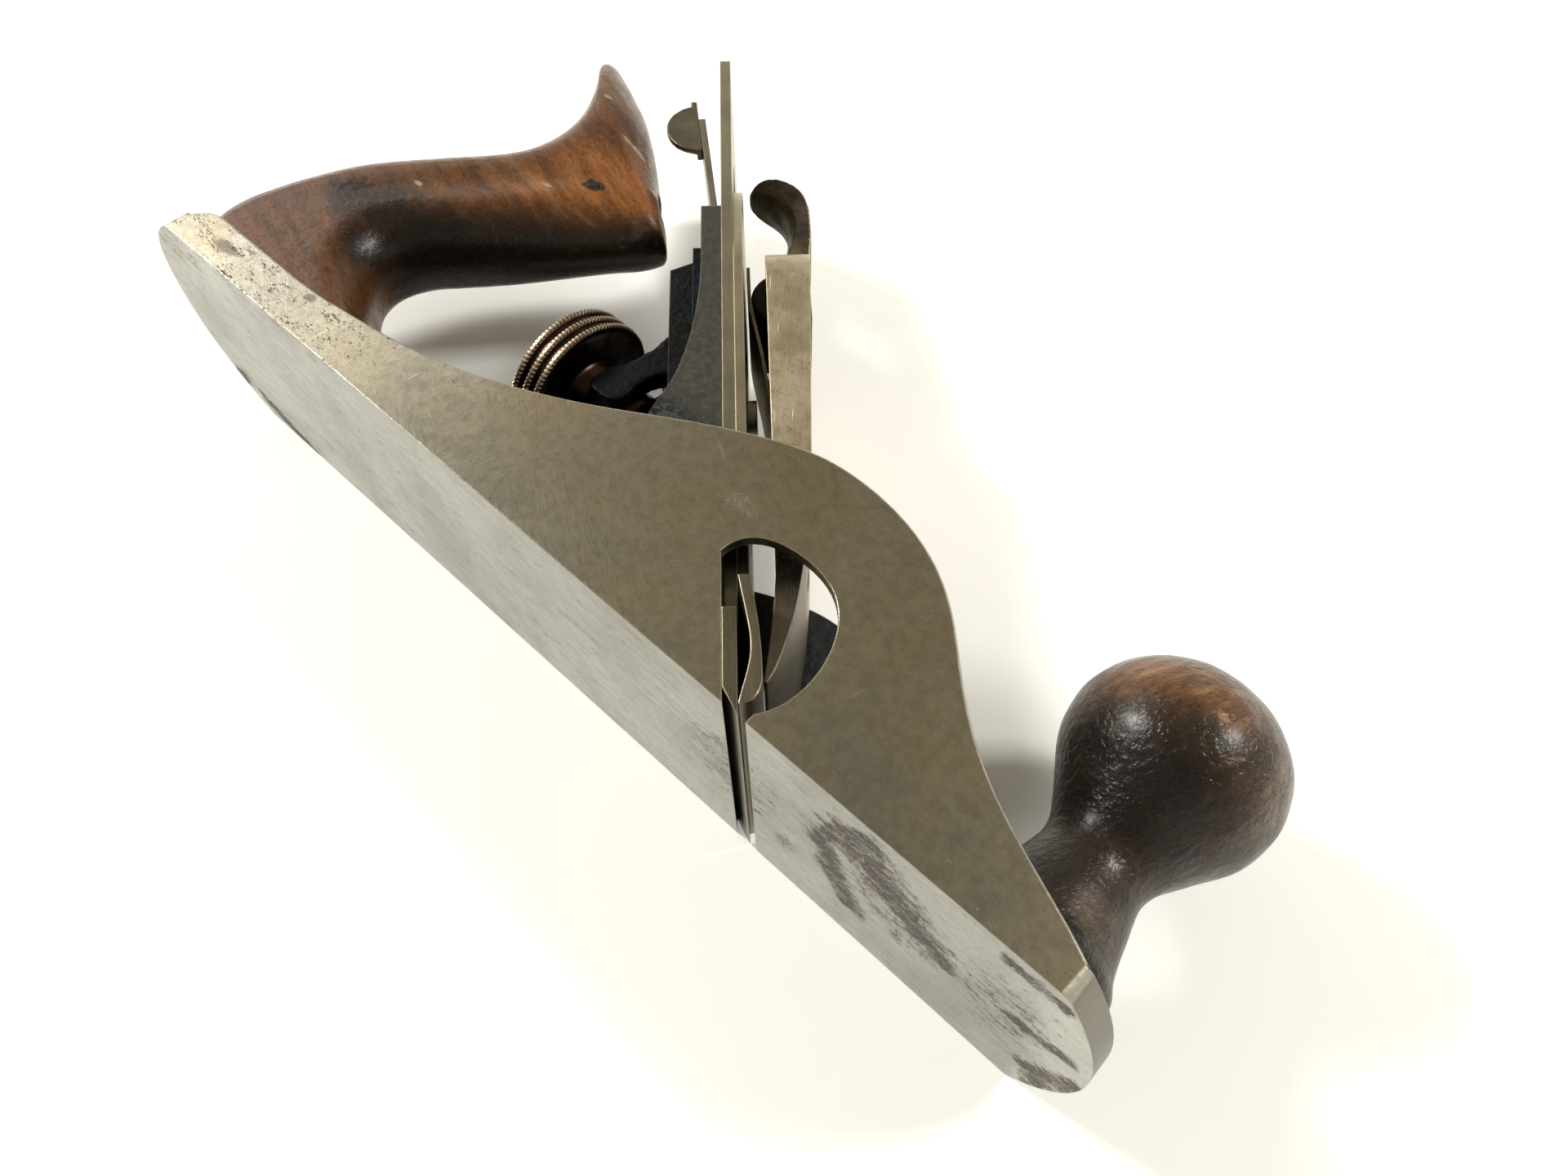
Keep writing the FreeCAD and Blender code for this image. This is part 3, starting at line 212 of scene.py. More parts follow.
def turned(vector, degrees):
    # the same coordinates turned about Z, so that their first axis follows a direction
    values = {"Vector": vector, "Angle": math.radians(-degrees)}
    return field(addNode(vector.tree, "ShaderNodeVectorRotate", values, rotation_type="Z_AXIS").outputs[0])


def nodeGroup(**inputs):
    # makes a shader group of a function: its arguments are the inputs, and what it returns the outputs
    def build(fill):
        tree = bpy.data.node_groups.new(fill.__name__, "ShaderNodeTree")
        for label, value in inputs.items():
            kind = "NodeSocketVector" if isinstance(value, tuple) else "NodeSocketFloat"
            socket = tree.interface.new_socket(label.capitalize(), in_out="INPUT", socket_type=kind)
            socket.default_value = value
        given = addNode(tree, "NodeGroupInput").outputs
        made = fill(*(field(given[n]) for n in range(len(inputs))))
        for label, value in made.items():
            kind = "NodeSocketVector" if value.socket.type == "VECTOR" else "NodeSocketFloat"
            tree.interface.new_socket(label.capitalize(), in_out="OUTPUT", socket_type=kind)
        addNode(tree, "NodeGroupOutput", enumerate(made.values()))

        def use(where, **values):
            if "vector" in inputs:
                values["vector"] = where
            node = addNode(where.tree, "ShaderNodeGroup", node_tree=tree)
            for label, value in values.items():
                plug(node.inputs[label.capitalize()], value)
            return SimpleNamespace(**{label: field(s) for label, s in zip(made, node.outputs)})

        return use
    return build


origin = (0, 0, 0)


@nodeGroup(vector=origin, centre=origin, reach=(5, 5, 5), ragged=0.6, soft=0.5)
def spotMask(vector, centre, reach, ragged, soft):
    # a ragged oval patch: 1 at its centre, 0 outside
    wobble = noiseField(vector, 0.35, 4.0) - 0.5
    distance = lengthOf((vector - centre) / reach) + wobble * (ragged * 2.0)
    return {"mask": fade(distance, 1.05, 1.05 - soft)}


@nodeGroup(vector=origin, start=origin, end=(1, 0, 0), reach=4.0, ragged=0.2)
def bandMask(vector, start, end, reach, ragged):
    # a ragged band between two points: 1 along its middle, 0 outside
    along = end - start
    away = vector - start
    share = maths("DIVIDE", dot(away, along), dot(along, along), True)
    wobble = noiseField(vector, 0.3, 4.0) - 0.5
    distance = lengthOf(away - scaled(along, share)) / reach + wobble * (ragged * 2.0)
    return {"mask": fade(distance, 1.0, 0.15)}


@nodeGroup(vector=origin, length=12.0, width=0.25)
def brushMarks(vector, length, width):
    # fine parallel marks along the first axis, with a few deeper scratches
    x, y, z = split(vector)
    stretched = join(x / length, y / width, z / width)
    fine = noiseField(stretched, 1.0, 3.0, 0.7)
    deep = fade(noiseField(stretched * (0.45, 0.28, 0.28), 1.0, 1.0, 0.4), 0.7, 0.78)
    return {"tone": fine, "scratch": deep, "height": fine - deep * 1.2}


@nodeGroup(vector=origin, cover=0.3, size=1.0, stretch=1.0)
def rustPits(vector, cover, size, stretch):
    # pitting that thickens with cover, drawn out along the first axis by stretch
    x, y, z = split(vector)
    sized = scaled(join(x / stretch, y, z), 1.0 / size)
    pitting = noiseField(sized, 1.6, 5.0, 0.75) * 0.65 + noiseField(sized, 0.3) * 0.35
    edge = 0.67 - cover * 0.19
    mask = fade(pitting, edge - 0.012, edge + 0.03)
    stain = fade(pitting, edge - 0.13, edge + 0.04) * fade(cover, 0.02, 0.5)
    return {"mask": mask, "stain": stain, "height": mask * -1.0}


@nodeGroup(radius=0.0004)
def edgeLight(radius):
    # rounded edges: a mask along them, and the softened normal
    rounded = field(addNode(radius.tree, "ShaderNodeBevel", {"Radius": radius}, samples=4).outputs[0])
    face = field(addNode(radius.tree, "ShaderNodeNewGeometry").outputs["Normal"])
    return {"mask": fade(dot(rounded, face), 0.99, 0.86), "normal": rounded}


@nodeGroup(vector=origin, size=1.0)
def castLumps(vector, size):
    # the lumpy skin of a painted sand casting
    sized = scaled(vector, 1.0 / size)
    cells = addNode(vector.tree, "ShaderNodeTexVoronoi", {"Vector": sized, "Scale": 0.9}, feature="SMOOTH_F1")
    broad = noiseField(sized, 0.6, 4.0)
    return {"tone": broad, "height": broad * 1.5 - field(cells.outputs["Distance"]) * 0.8}


@nodeGroup(vector=origin, length=2.4, width=0.34)
def woodFigure(vector, length, width):
    # faint long figure, short flecks and open pores, all along the first axis
    x, y, z = split(vector)
    across = y + noiseField(vector, 0.05, 2.0, 0.5) * 7.0
    fine = join(x / length, across / width, z / width)
    figure = noiseField(fine * (0.1, 0.11, 0.11), 1.0, 4.0)
    fleck = noiseField(fine, 0.9, 1.5, 0.5)
    pore = noiseField(fine * (0.8, 2.2, 2.2), 1.0, 1.0, 0.5)
    return {"figure": figure, "fleck": fade(fleck, 0.52, 0.68), "height": fleck * -0.6 - fade(pore, 0.6, 0.72)}


def startMaterial(name):
    # a material, its shader, and object coordinates and normal in millimetres
    made = bpy.data.materials.new(name)
    made.use_nodes = True
    tree = made.node_tree
    tree.nodes.clear()
    shader = addNode(tree, "ShaderNodeBsdfPrincipled")
    addNode(tree, "ShaderNodeOutputMaterial", {"Surface": field(shader.outputs[0])})
    place = addNode(tree, "ShaderNodeTexCoord").outputs
    return made, shader, scaled(field(place["Object"]), 1000.0), field(place["Normal"])


def finishMaterial(shader, values, relief=None, depth=0.1, normal=None):
    # depth is the height of the relief in millimetres
    for label, value in values.items():
        plug(shader.inputs[label], value)
    if relief:
        bump = {"Strength": 1.0, "Distance": depth * mm, "Height": relief}
        if normal:
            bump["Normal"] = normal
        plug(shader.inputs["Normal"], field(addNode(relief.tree, "ShaderNodeBump", bump).outputs[0]))


def spots(where, places, ragged=0.6, soft=0.5):
    return biggest(*(spotMask(where, centre=c, reach=r, ragged=ragged, soft=soft).mask for c, r in places))


def bands(where, places, ragged):
    return biggest(*(bandMask(where, start=a, end=b, reach=r, ragged=ragged).mask for a, b, r in places))


castingLook = {
    "sole": (0.48, 0.482, 0.448),
    "soleDull": (0.35, 0.348, 0.315),
    "cheek": (0.6, 0.56, 0.445),
    "cheekBrown": (0.48, 0.4, 0.265),
    "cheekGrey": (0.43, 0.42, 0.365),
    "wall": (0.185, 0.178, 0.152),
    "bright": (0.72, 0.7, 0.62),
    "mottle": (0.2, 0.175, 0.13),
    "marks": (0.24, 0.225, 0.185),
    "rust": (0.04, 0.028, 0.023),
    "stain": (0.17, 0.13, 0.1),
    "soleRough": (0.26, 0.38),
    "cheekRough": (0.19, 0.29),
    "paintRough": (0.34, 0.52),
    "relief": 0.1,
    "steepTurn": 76.0,    # degrees at which the grinding marks cross the cheek
    "slantTurn": -30.0,
    "paint": (0.007, 0.009, 0.013),
    "paintBlue": (0.01, 0.018, 0.034),
    "inside": 23.86,    # half-width between the cheeks' inner faces
    "floor": 4.05,    # height of the painted bed over the sole
    "rim": (5.0, 0.16),    # height of the bare rims at toe and heel, and how near to it counts
    "ends": (14.0, 5.2),    # the bare end walls: how far from the middle, and how high
    "patches": [((20, 0, 33), (22.5, 0, 24), 6.5), ((22.5, 0, 24), (27, 0, 16), 6.0),
                ((20, 0, 36), (24, 0, 45), 4.5), ((24, 0, 45), (29, 0, 49), 6.0),
                ((28, 0, 43), (34, 0, 36), 13.0), ((34, 0, 36), (40, 0, 31), 10.5),
                ((40, 0, 31), (44.5, 0, 27.5), 7.5), ((53, 0, 49.5), (62, 0, 50), 3.2),
                ((57, 0, 29), (67, 0, 32), 3.8), ((64, 0, 13), (70.5, 0, 23), 6.0),
                ((66, 0, 6), (65, 0, 15), 5.0), ((-158, 0, 2), (-152, 0, 9), 5.0),
                ((-146, 0, 6), (-130, 0, -1), 4.5)],
    "faintPatches": [((12.5, 0, 18), (4.5, 6, 6)), ((36, 0, 28), (20, 6, 18)), ((0, 0, 30), (16, 6, 22)),
                     ((56, 0, 30), (14, 6, 24))],
    "patchCover": 1.05,
    "faintCover": 0.66,
    "soleCover": 0.32,
    "cheekSpot": [((-22.3, 27.5, 54), (4.0, 2.6, 3))],
    "cheekSpotCover": 0.75,
    "speckCover": 0.16,
    "rims": [((-118, 8, 54), (38, 16, 8)), ((-150, 6, 50), (22, 12, 14)), ((-86, 20, 53), (26, 12, 6))],
    "rimCover": 0.5,
    "heelSpots": [((-111.4, 7.4, 54), (1.5, 1.1, 2)), ((-134, 4.5, 54), (4, 1.6, 2))],
}


def castingIron():
    # ground steel-grey outside, japanned inside, with rust on the sole and along the rims
    look = castingLook
    made, shader, where, normal = startMaterial("groundCasting")
    x, y, z = split(where)
    nx, ny, nz = split(normal)
    between = abs(z - planeMid) < look["inside"]
    above = y > look["floor"]
    nearRim = {0: y, 1: look["rim"][0], 2: look["rim"][1]}
    atRim = field(addNode(where.tree, "ShaderNodeMath", nearRim, operation="COMPARE").outputs[0])
    ends = (x * nx > look["ends"][0]) * (y < look["ends"][1])
    painted = between * above * (1.0 - biggest((ny > 0.9) * atRim, ends))
    sole = fade(ny * -1.0, 0.35, 0.8)
    flank = fade(abs(nz), 0.9, 0.98)
    # partly edges rubbed bright, partly a painted highlight: faces slanting between cheek and walls are made
    # lighter
    rubbedAndLitFacet = fade(abs(nz), 0.62, 0.78) * (1.0 - flank)
    along = brushMarks(where, length=22.0, width=0.24)
    steep = brushMarks(turned(where, look["steepTurn"]), length=2.6, width=0.2)
    slant = brushMarks(turned(where, look["slantTurn"]), length=4.0, width=0.22)
    strokes = fade(noiseField(where, 0.06), 0.42, 0.62)
    tone = mixValue(sole, mixValue(strokes, slant.tone, steep.tone), along.tone)
    nicks = mixValue(strokes, slant.scratch, steep.scratch) * fade(noiseField(where, 0.11), 0.48, 0.62)
    scratch = mixValue(sole, nicks, along.scratch * 0.6)
    patina = fade(noiseField(where, 0.035, 6.0, 0.66), 0.36, 0.66)
    grey = fade(noiseField(where, 0.022, 5.0), 0.42, 0.6)
    mottle = fade(noiseField(where, 0.55, 6.0, 0.72), 0.36, 0.66)
    cheek = mixColour(patina, look["cheek"], look["cheekBrown"])
    cheek = mixColour(grey * 0.75, cheek, look["cheekGrey"])
    colour = mixColour(flank, look["wall"], cheek)
    colour = mixColour(rubbedAndLitFacet * 0.7, colour, look["bright"])
    colour = mixColour(sole, colour, mixColour(patina, look["sole"], look["soleDull"]))
    colour = mixColour(mottle * mixValue(sole, 0.34, 0.2), colour, look["mottle"])
    colour = mixColour(fade(tone, 0.35, 0.7, 0.0, 0.42), colour, look["marks"])
    colour = mixColour(scratch * 0.55, colour, look["bright"])
    patches = bands(where, look["patches"], 0.55)
    cover = biggest(patches * look["patchCover"],
                    spots(where, look["faintPatches"], 0.5, 0.8) * look["faintCover"],
                    spots(where, look["rims"], 0.35) * look["rimCover"],
                    sole * look["soleCover"])
    rust = rustPits(where, cover=cover, size=0.5, stretch=2.6)
    pitted = biggest(spots(where, look["cheekSpot"]) * look["cheekSpotCover"], look["speckCover"])
    specks = rustPits(where, cover=pitted, size=0.45, stretch=1.4)
    oldSpots = spots(where, look["heelSpots"], 0.5)
    for share in (rust.stain * mixValue(patches, 0.45, 0.72), specks.mask * 0.8, oldSpots * 0.85):
        colour = mixColour(share, colour, look["stain"])
    colour = mixColour(rust.mask, colour, look["rust"])
    edge = edgeLight(where, radius=0.00035)
    # painted highlight: the bright colour laid along the rounded edges
    colour = mixColour(edge.mask * 0.22, colour, look["bright"])
    lumps = castLumps(where, size=1.1)
    paint = mixColour(fade(lumps.tone, 0.5, 0.7), look["paint"], look["paintBlue"])
    rough = mixValue(flank, *(fade(tone, 0.25, 0.75, *look[side]) for side in ("soleRough", "cheekRough")))
    rough = rough + rust.stain * 0.2 + patina * 0.05
    metal = tone * 0.1 + (rust.height + specks.height) * 0.55 + mottle * 0.05
    finishMaterial(shader, {
        "Base Color": mixColour(painted, colour, paint),
        "Metallic": 1.0 - biggest(painted, rust.mask * 0.9, oldSpots * 0.5),
        "Roughness": mixValue(painted, rough, fade(lumps.tone, 0.3, 0.7, *look["paintRough"])),
    }, mixValue(painted, metal, lumps.height * 1.6), look["relief"], edge.normal)
    return made


frogLook = {
    "paint": (0.005, 0.005, 0.005),
    "blue": (0.005, 0.009, 0.017),
    "chip": (0.06, 0.055, 0.045),
    "ground": (0.12, 0.114, 0.098),
    "groundDull": (0.072, 0.07, 0.062),
    "edge": (0.26, 0.24, 0.195),
    "chipCover": 0.4,
    "chipShare": 0.6,
    "blueShare": 1.0,
    "edgeHighlightShare": 0.35,
    "lumps": 0.9,
    "rough": (0.34, 0.52),
    "shine": 0.11,
    "relief": 0.16,
    "bedWay": (0.7071, 0.7071, 0.0),
    "groundFrom": 19.0,    # half-width beyond which the sides are ground
}

yokeLook = {**frogLook, "chipCover": 0.15, "chipShare": 0.3, "blueShare": 0.25, "edgeHighlightShare": 0.1, "lumps": 0.7}


def paintedIron(name, look, groundSides=False):
    made, shader, where, normal = startMaterial(name)
    lumps = castLumps(where, size=0.8)
    chips = rustPits(where, cover=look["chipCover"], size=1.4, stretch=1.0)
    blue = fade(noiseField(where, 0.12), 0.5, 0.62, 0.0, look["blueShare"])
    colour = mixColour(blue, look["paint"], look["blue"])
    colour = mixColour(chips.mask * look["chipShare"], colour, look["chip"])
    relief = lumps.height * look["lumps"]
    metal = chips.mask * 0.4
    if groundSides:
        y, z = split(where)[1:]
        side = abs(split(normal)[2]) > 0.8
        bed = dot(normal, look["bedWay"]) > 0.97
        ground = biggest(side * (abs(z - planeMid) > look["groundFrom"]), bed)
        marks = brushMarks(turned(where, 135.0), length=8.0, width=0.25)
        left = fade(y + lumps.tone * 30.0, 62.0, 52.0) * fade(lumps.tone, 0.46, 0.54)    # paint left low down
        bare = mixColour(left, mixColour(marks.tone, look["ground"], look["groundDull"]), look["blue"])
        colour = mixColour(ground, colour, bare)
        metal = mixValue(ground, metal, 0.85 - left * 0.8)
        relief = mixValue(ground, relief, marks.tone * 0.12)
    # painted highlight: the edge colour laid along the rounded edges
    edge = edgeLight(where, radius=0.0003)
    finishMaterial(shader, {
        "Base Color": mixColour(edge.mask * look["edgeHighlightShare"], colour, look["edge"]),
        "Metallic": metal,
        "Roughness": fade(lumps.tone, 0.3, 0.7, *look["rough"]),
        "Specular IOR Level": look["shine"],
    }, relief, look["relief"], edge.normal)
    return made


steelMarks = {
    # painted shade: the colour that darkens the throat
    "throatShadeColour": (0.045, 0.042, 0.032),
    "stain": (0.15, 0.11, 0.08),
    "rust": (0.09, 0.07, 0.055),
    "relief": 0.08,
}


def steelLook(name, colour, shade, roughness, turn, marks, rusty,
              coarse=0.1, worn=(0.62, 0.57, 0.44), sheen=0.3, throatShade=None):
    # a ground or brushed steel part: marks run at an angle in the side view
    made, shader, where, normal = startMaterial(name)
    lines = brushMarks(turned(where, turn), length=marks[0], width=marks[1])
    base = mixColour(fade(noiseField(where, 0.09, 5.0, 0.62), 0.35, 0.68), colour, shade)
    base = mixColour(fade(lines.tone, 0.3, 0.75, 0.0, 0.35), base, [0.55 * c for c in colour])
    base = mixColour(lines.scratch * 0.3, base, worn)
    if throatShade:
        # painted shade: darker down in the throat, where the cheeks keep the light off
        low, high, share = throatShade
        base = mixColour(fade(split(where)[1], high, low, 0.0, share), base, steelMarks["throatShadeColour"])
    rust = rustPits(where, cover=rusty, size=0.6, stretch=1.4)
    base = mixColour(rust.stain * 0.5, base, steelMarks["stain"])
    base = mixColour(rust.mask, base, steelMarks["rust"])
    # painted highlight: the worn colour laid along the rounded edges, by the sheen share
    edge = edgeLight(where, radius=0.0003)
    finishMaterial(shader, {
        "Base Color": mixColour(edge.mask * sheen, base, worn),
        "Metallic": 1.0 - rust.mask * 0.8,
        "Roughness": fade(lines.tone, 0.2, 0.8, roughness - 0.05, roughness + 0.09),
    }, lines.height * coarse + rust.height * 0.6, steelMarks["relief"], edge.normal)
    return made


camLook = {
    "patina": (0.05, 0.034, 0.016),
    "patinaDark": (0.02, 0.014, 0.007),
    "stem": (0.15, 0.118, 0.072),
    "worn": (0.56, 0.48, 0.35),
    "disc": (0.012, 0.01, 0.008),
    "rough": (0.36, 0.54),
    "shine": 0.25,
    "relief": 0.1,
    "outerWay": (0.72, 0.69, 0.0),    # the way that the lever's rubbed outer face looks
    "discReach": (11.5, 8.5),    # from the pin: where the black disc has faded, and where it is full
    "stemReach": (19.0, 12.0),
}


def camSteel():
    # a dark brown patina, rubbed bright on the rounded edges, and a black cam disc
    look = camLook
    made, shader, where, normal = startMaterial("camSteel")
    upright = abs(split(normal)[2])
    outer = fade(dot(normal, look["outerWay"]), -0.05, 0.25)
    rubbed = fade(upright, 0.18, 0.45) * fade(upright, 0.97, 0.82) * outer
    away = lengthOf((where - tuple(middleOf("cam_pin"))) * (1.0, 1.0, 0.0))
    lines = brushMarks(turned(where, 135.0), length=7.0, width=0.22)
    cloud = noiseField(where, 0.3, 6.0, 0.72)
    colour = mixColour(fade(cloud, 0.38, 0.62), look["patina"], look["patinaDark"])
    colour = mixColour(fade(away, *look["stemReach"]) * fade(cloud, 0.4, 0.56), colour, look["stem"])
    colour = mixColour(rubbed * fade(lines.tone, 0.2, 0.6, 0.5, 0.9), colour, look["worn"])
    finishMaterial(shader, {
        "Base Color": mixColour(fade(away, *look["discReach"]), colour, look["disc"]),
        "Metallic": mixValue(rubbed, 0.5, 0.95),
        "Specular IOR Level": look["shine"],
        "Roughness": fade(cloud, 0.3, 0.7, *look["rough"]),
    }, lines.tone * 0.15 + cloud * 0.7, look["relief"])
    return made


wheelLook = {
    "bright": (0.72, 0.6, 0.46),
    "rim": (0.2, 0.138, 0.092),
    "dark": (0.04, 0.023, 0.016),
    "grime": (0.045, 0.03, 0.022),
    "rough": (0.24, 0.4),
    "relief": 0.05,
    "rimRadius": 15.0,
}


def wheelBrass():
    # tarnished brass, rubbed bright on the tips of the knurl
    look = wheelLook
    made, shader, where, normal = startMaterial("wheelBrass")
    radius = lengthOf((where - tuple(middleOf("adjusting_wheel"))) * (0.0, 1.0, 1.0))
    cloud = noiseField(where, 0.35, 4.0)
    outer = fade(radius + (cloud - 0.5) * 0.5, look["rimRadius"] - 1.1, look["rimRadius"] - 0.25)
    tip = fade(radius, look["rimRadius"] - 0.28, look["rimRadius"] - 0.06)
    colour = mixColour(tip, mixColour(outer, look["dark"], look["rim"]), look["bright"])
    finishMaterial(shader, {
        "Base Color": mixColour(fade(cloud, 0.52, 0.7, 0.0, 0.5), colour, look["grime"]),
        "Metallic": 1.0,
        "Roughness": fade(cloud, 0.3, 0.7, *look["rough"]),
    }, cloud, look["relief"])
    return made


toteLook = {
    "warm": (0.268, 0.102, 0.028),
    "mid": (0.118, 0.048, 0.019),
    "dry": (0.165, 0.09, 0.048),
    "black": (0.01, 0.006, 0.004),
    "scuff": (0.42, 0.31, 0.215),
    "grainTurn": -16.0,
    "warmPatches": [((-110, 76, 36), (24, 20, 18)), ((-126, 66, 38), (14, 8, 14))],
    "dryPatches": [((-140, 104, 34), (20, 16, 18)), ((-140, 66, 36), (22, 6, 12)),
                   ((-160, 46, 32), (6, 18, 10))],
    # painted shade: black patches where the handle's bend lies in shadow
    "darkAndShadePatches": [((-148, 37, 37), (10, 8, 14)), ((-139, 39, 37), (13, 12, 14)),
                     ((-136, 31, 37), (9, 9, 14)), ((-127, 42, 37), (14, 12, 14)),
                     ((-114, 47, 37), (16, 8, 14))],
    "darkSpots": [((-115.2, 75.2, 38), (3.0, 2.0, 5))],
    "scuffs": [((-117.5, 90.6, 38), (4.2, 0.9, 6)), ((-141.6, 49, 38), (1.6, 0.7, 3)),
               ((-122, 68, 39), (2.0, 0.8, 4)), ((-134, 97, 37), (1.8, 0.7, 4))],
    "hollow": (0.68, -0.73, -0.1),    # painted shade: the side turned away from the lamps, darkened towards black
    "hollowDark": 0.96,
    "gloss": 0.2,
    "coat": 0.06,
    "pits": 0.14,
    "fleck": 0.5,
    "sliver": 0.1,
    "wrinkles": 0.0,
}

knobLook = {
    "warm": (0.19, 0.084, 0.03),
    "mid": (0.03, 0.018, 0.011),
    "dry": (0.15, 0.104, 0.07),
    "black": (0.008, 0.005, 0.004),
    "scuff": (0.3, 0.17, 0.08),
    "grainTurn": 62.0,
    "warmPatches": [((43, 54, 42), (14, 8.5, 12)), ((52, 57, 45), (13, 8, 10))],
    "dryPatches": [((68, 52, 38), (7, 13, 9)), ((60, 60, 40), (8, 6, 8)), ((57, 17, 36), (7, 5, 6)),
                   ((44, 62, 36), (10, 5, 10))],
    # partly the knob's own black skin and chipped ring, partly painted shade where its side lies in shadow
    "darkAndShadePatches": [((43, 41, 41), (9, 7, 9)), ((55, 40, 43), (11, 8, 9)), ((58, 11, 37), (9, 3, 8)),
                     ((50, 33, 38), (14, 5, 9)), ((36, 38, 34), (7, 9, 8))],
    "darkSpots": [((57, 12.5, 41), (9, 1.3, 6)), ((44, 12.5, 40), (8, 1.2, 6))],
    "scuffs": [((55, 52.5, 46), (1.4, 0.8, 2))],
    # painted shade: the knob's underside, darkened towards black
    "hollow": (0.0, -1.0, 0.0),
    "hollowDark": 0.45,
    "gloss": 0.23,
    "coat": 0.22,
    "pits": 0.4,
    "fleck": 0.55,
    "sliver": 0.6,
    "wrinkles": 0.42,
}


woodFinish = {
    "shine": 0.25,
    "coatRough": 0.28,
    "relief": 0.2,
    "black": 0.88,    # shares of the patches and scuffs
    "dry": 0.85,
    "scuffs": 0.7,
}


def wood(name, look):
    # stained hardwood: figure and flecks, warm where a hand rubs it, dry on the rims; painted shade blackens one
    # side and the hollows, and some black patches are the knob's own
    made, shader, where, normal = startMaterial(name)
    along = turned(where, look["grainTurn"])
    grain = woodFigure(along, length=2.2, width=0.28)
    smoky = noiseField(where, 0.22, 5.0, 0.65)
    knocks = rustPits(where, cover=look["pits"], size=0.8, stretch=1.0)
    clouds = fade(noiseField(where, 0.05, 5.0, 0.62), 0.44, 0.72, 0.0, 0.3)
    warm = maths("ADD", clouds, spots(where, look["warmPatches"], 0.22, 0.9), True)
    # painted shade: faces turned towards hollow are darkened, as if out of the light
    paintedShade = fade(dot(normal, look["hollow"]), 0.1, 0.8, 0.0, look["hollowDark"])
    sliver = fade(grain.figure, 0.54, 0.66) * warm
    colour = mixColour(warm, look["mid"], look["warm"])
    for share, over in ((spots(where, look["dryPatches"], 0.28, 0.75) * woodFinish["dry"], "dry"),
                        # painted shade, and on the knob partly its own black skin
                        (spots(where, look["darkAndShadePatches"], 0.28, 0.75) * woodFinish["black"], "black"),
                        (paintedShade, "black"),
                        (fade(grain.figure, 0.36, 0.6, 0.4, 0.0), "black"),
                        (grain.fleck * look["fleck"], "black"),
                        (sliver * look["sliver"], "scuff"),
                        (fade(smoky, 0.6, 0.78, 0.0, 0.4), "black"),
                        (spots(where, look["darkSpots"], 0.8), "black"),
                        (spots(where, look["scuffs"], 0.9) * woodFinish["scuffs"], "scuff"),
                        (knocks.mask * 0.6, "black")):
        colour = mixColour(share, colour, look[over])
    wrinkle = fade(noiseField(along * (0.8, 1.0, 1.0), 0.75, 2.0, 0.5), 0.4, 0.62)
    relief = grain.height * 0.16 + noiseField(where, 0.55, 4.0) * 0.9 + knocks.height * 0.8
    finishMaterial(shader, {
        "Base Color": colour,
        "Roughness": fade(smoky, 0.3, 0.7, look["gloss"], look["gloss"] + 0.14),
        "Specular IOR Level": woodFinish["shine"],
        "Coat Weight": look["coat"],
        "Coat Roughness": woodFinish["coatRough"],
    }, relief + wrinkle * look["wrinkles"], woodFinish["relief"])
    return made


materials = {
    "casting": castingIron(),
    "frog": paintedIron("frogIron", frogLook, groundSides=True),
    "yoke": paintedIron("paintedCasting", yokeLook),
    "cam": camSteel(),
    "wheel": wheelBrass(),
    "tote": wood("toteWood", toteLook),
    "knob": wood("knobWood", knobLook),
}

# name, colour, its darker shade, roughness, angle of the marks, their length and width, share of rust
steels = {
    "blade": ("bladeSteel", (0.43, 0.39, 0.285), (0.33, 0.3, 0.215), 0.3, 135.0, (14.0, 0.2), 0.16),
    "cap": ("capSteel", (0.54, 0.48, 0.34), (0.42, 0.37, 0.26), 0.3, 135.0, (14.0, 0.2), 0.16),
    "lever": ("leverIron", (0.72, 0.61, 0.45), (0.44, 0.365, 0.26), 0.4, 131.0, (4.0, 0.3), 0.34),
    "dark": ("darkSteel", (0.23, 0.2, 0.145), (0.11, 0.095, 0.065), 0.36, 135.0, (4.0, 0.3), 0.3),
    "lateral": ("lateralSteel", (0.28, 0.255, 0.195), (0.19, 0.17, 0.125), 0.33, 135.0, (10.0, 0.2), 0.15),
    "screw": ("screwSteel", (0.3, 0.28, 0.24), (0.18, 0.16, 0.13), 0.34, 0.0, (3.0, 0.2), 0.3),
    "pin": ("rustyPin", (0.06, 0.048, 0.034), (0.03, 0.024, 0.018), 0.42, 0.0, (3.0, 0.2), 0.5),
    "nut": ("nutBrass", (0.62, 0.48, 0.24), (0.4, 0.29, 0.14), 0.32, 20.0, (3.0, 0.2), 0.22),
}
steelExtras = {
    # throatShade: painted shade in the throat, with lowest and highest height and share
    "blade": {"sheen": 0.05, "throatShade": (34.0, 46.0, 0.5)},
    "cap": {"sheen": 0.05, "throatShade": (34.0, 46.0, 0.5)},
    "lever": {"sheen": 0.1, "throatShade": (30.0, 42.0, 0.75), "coarse": 0.35},
    "dark": {"sheen": 0.2},
    "lateral": {"sheen": 0.15},
    "pin": {"sheen": 0.2},
    "nut": {"worn": (0.85, 0.7, 0.4)},
}
for finish, values in steels.items():
    materials[finish] = steelLook(*values, **steelExtras.get(finish, {}))
print("materials made:", len(materials))

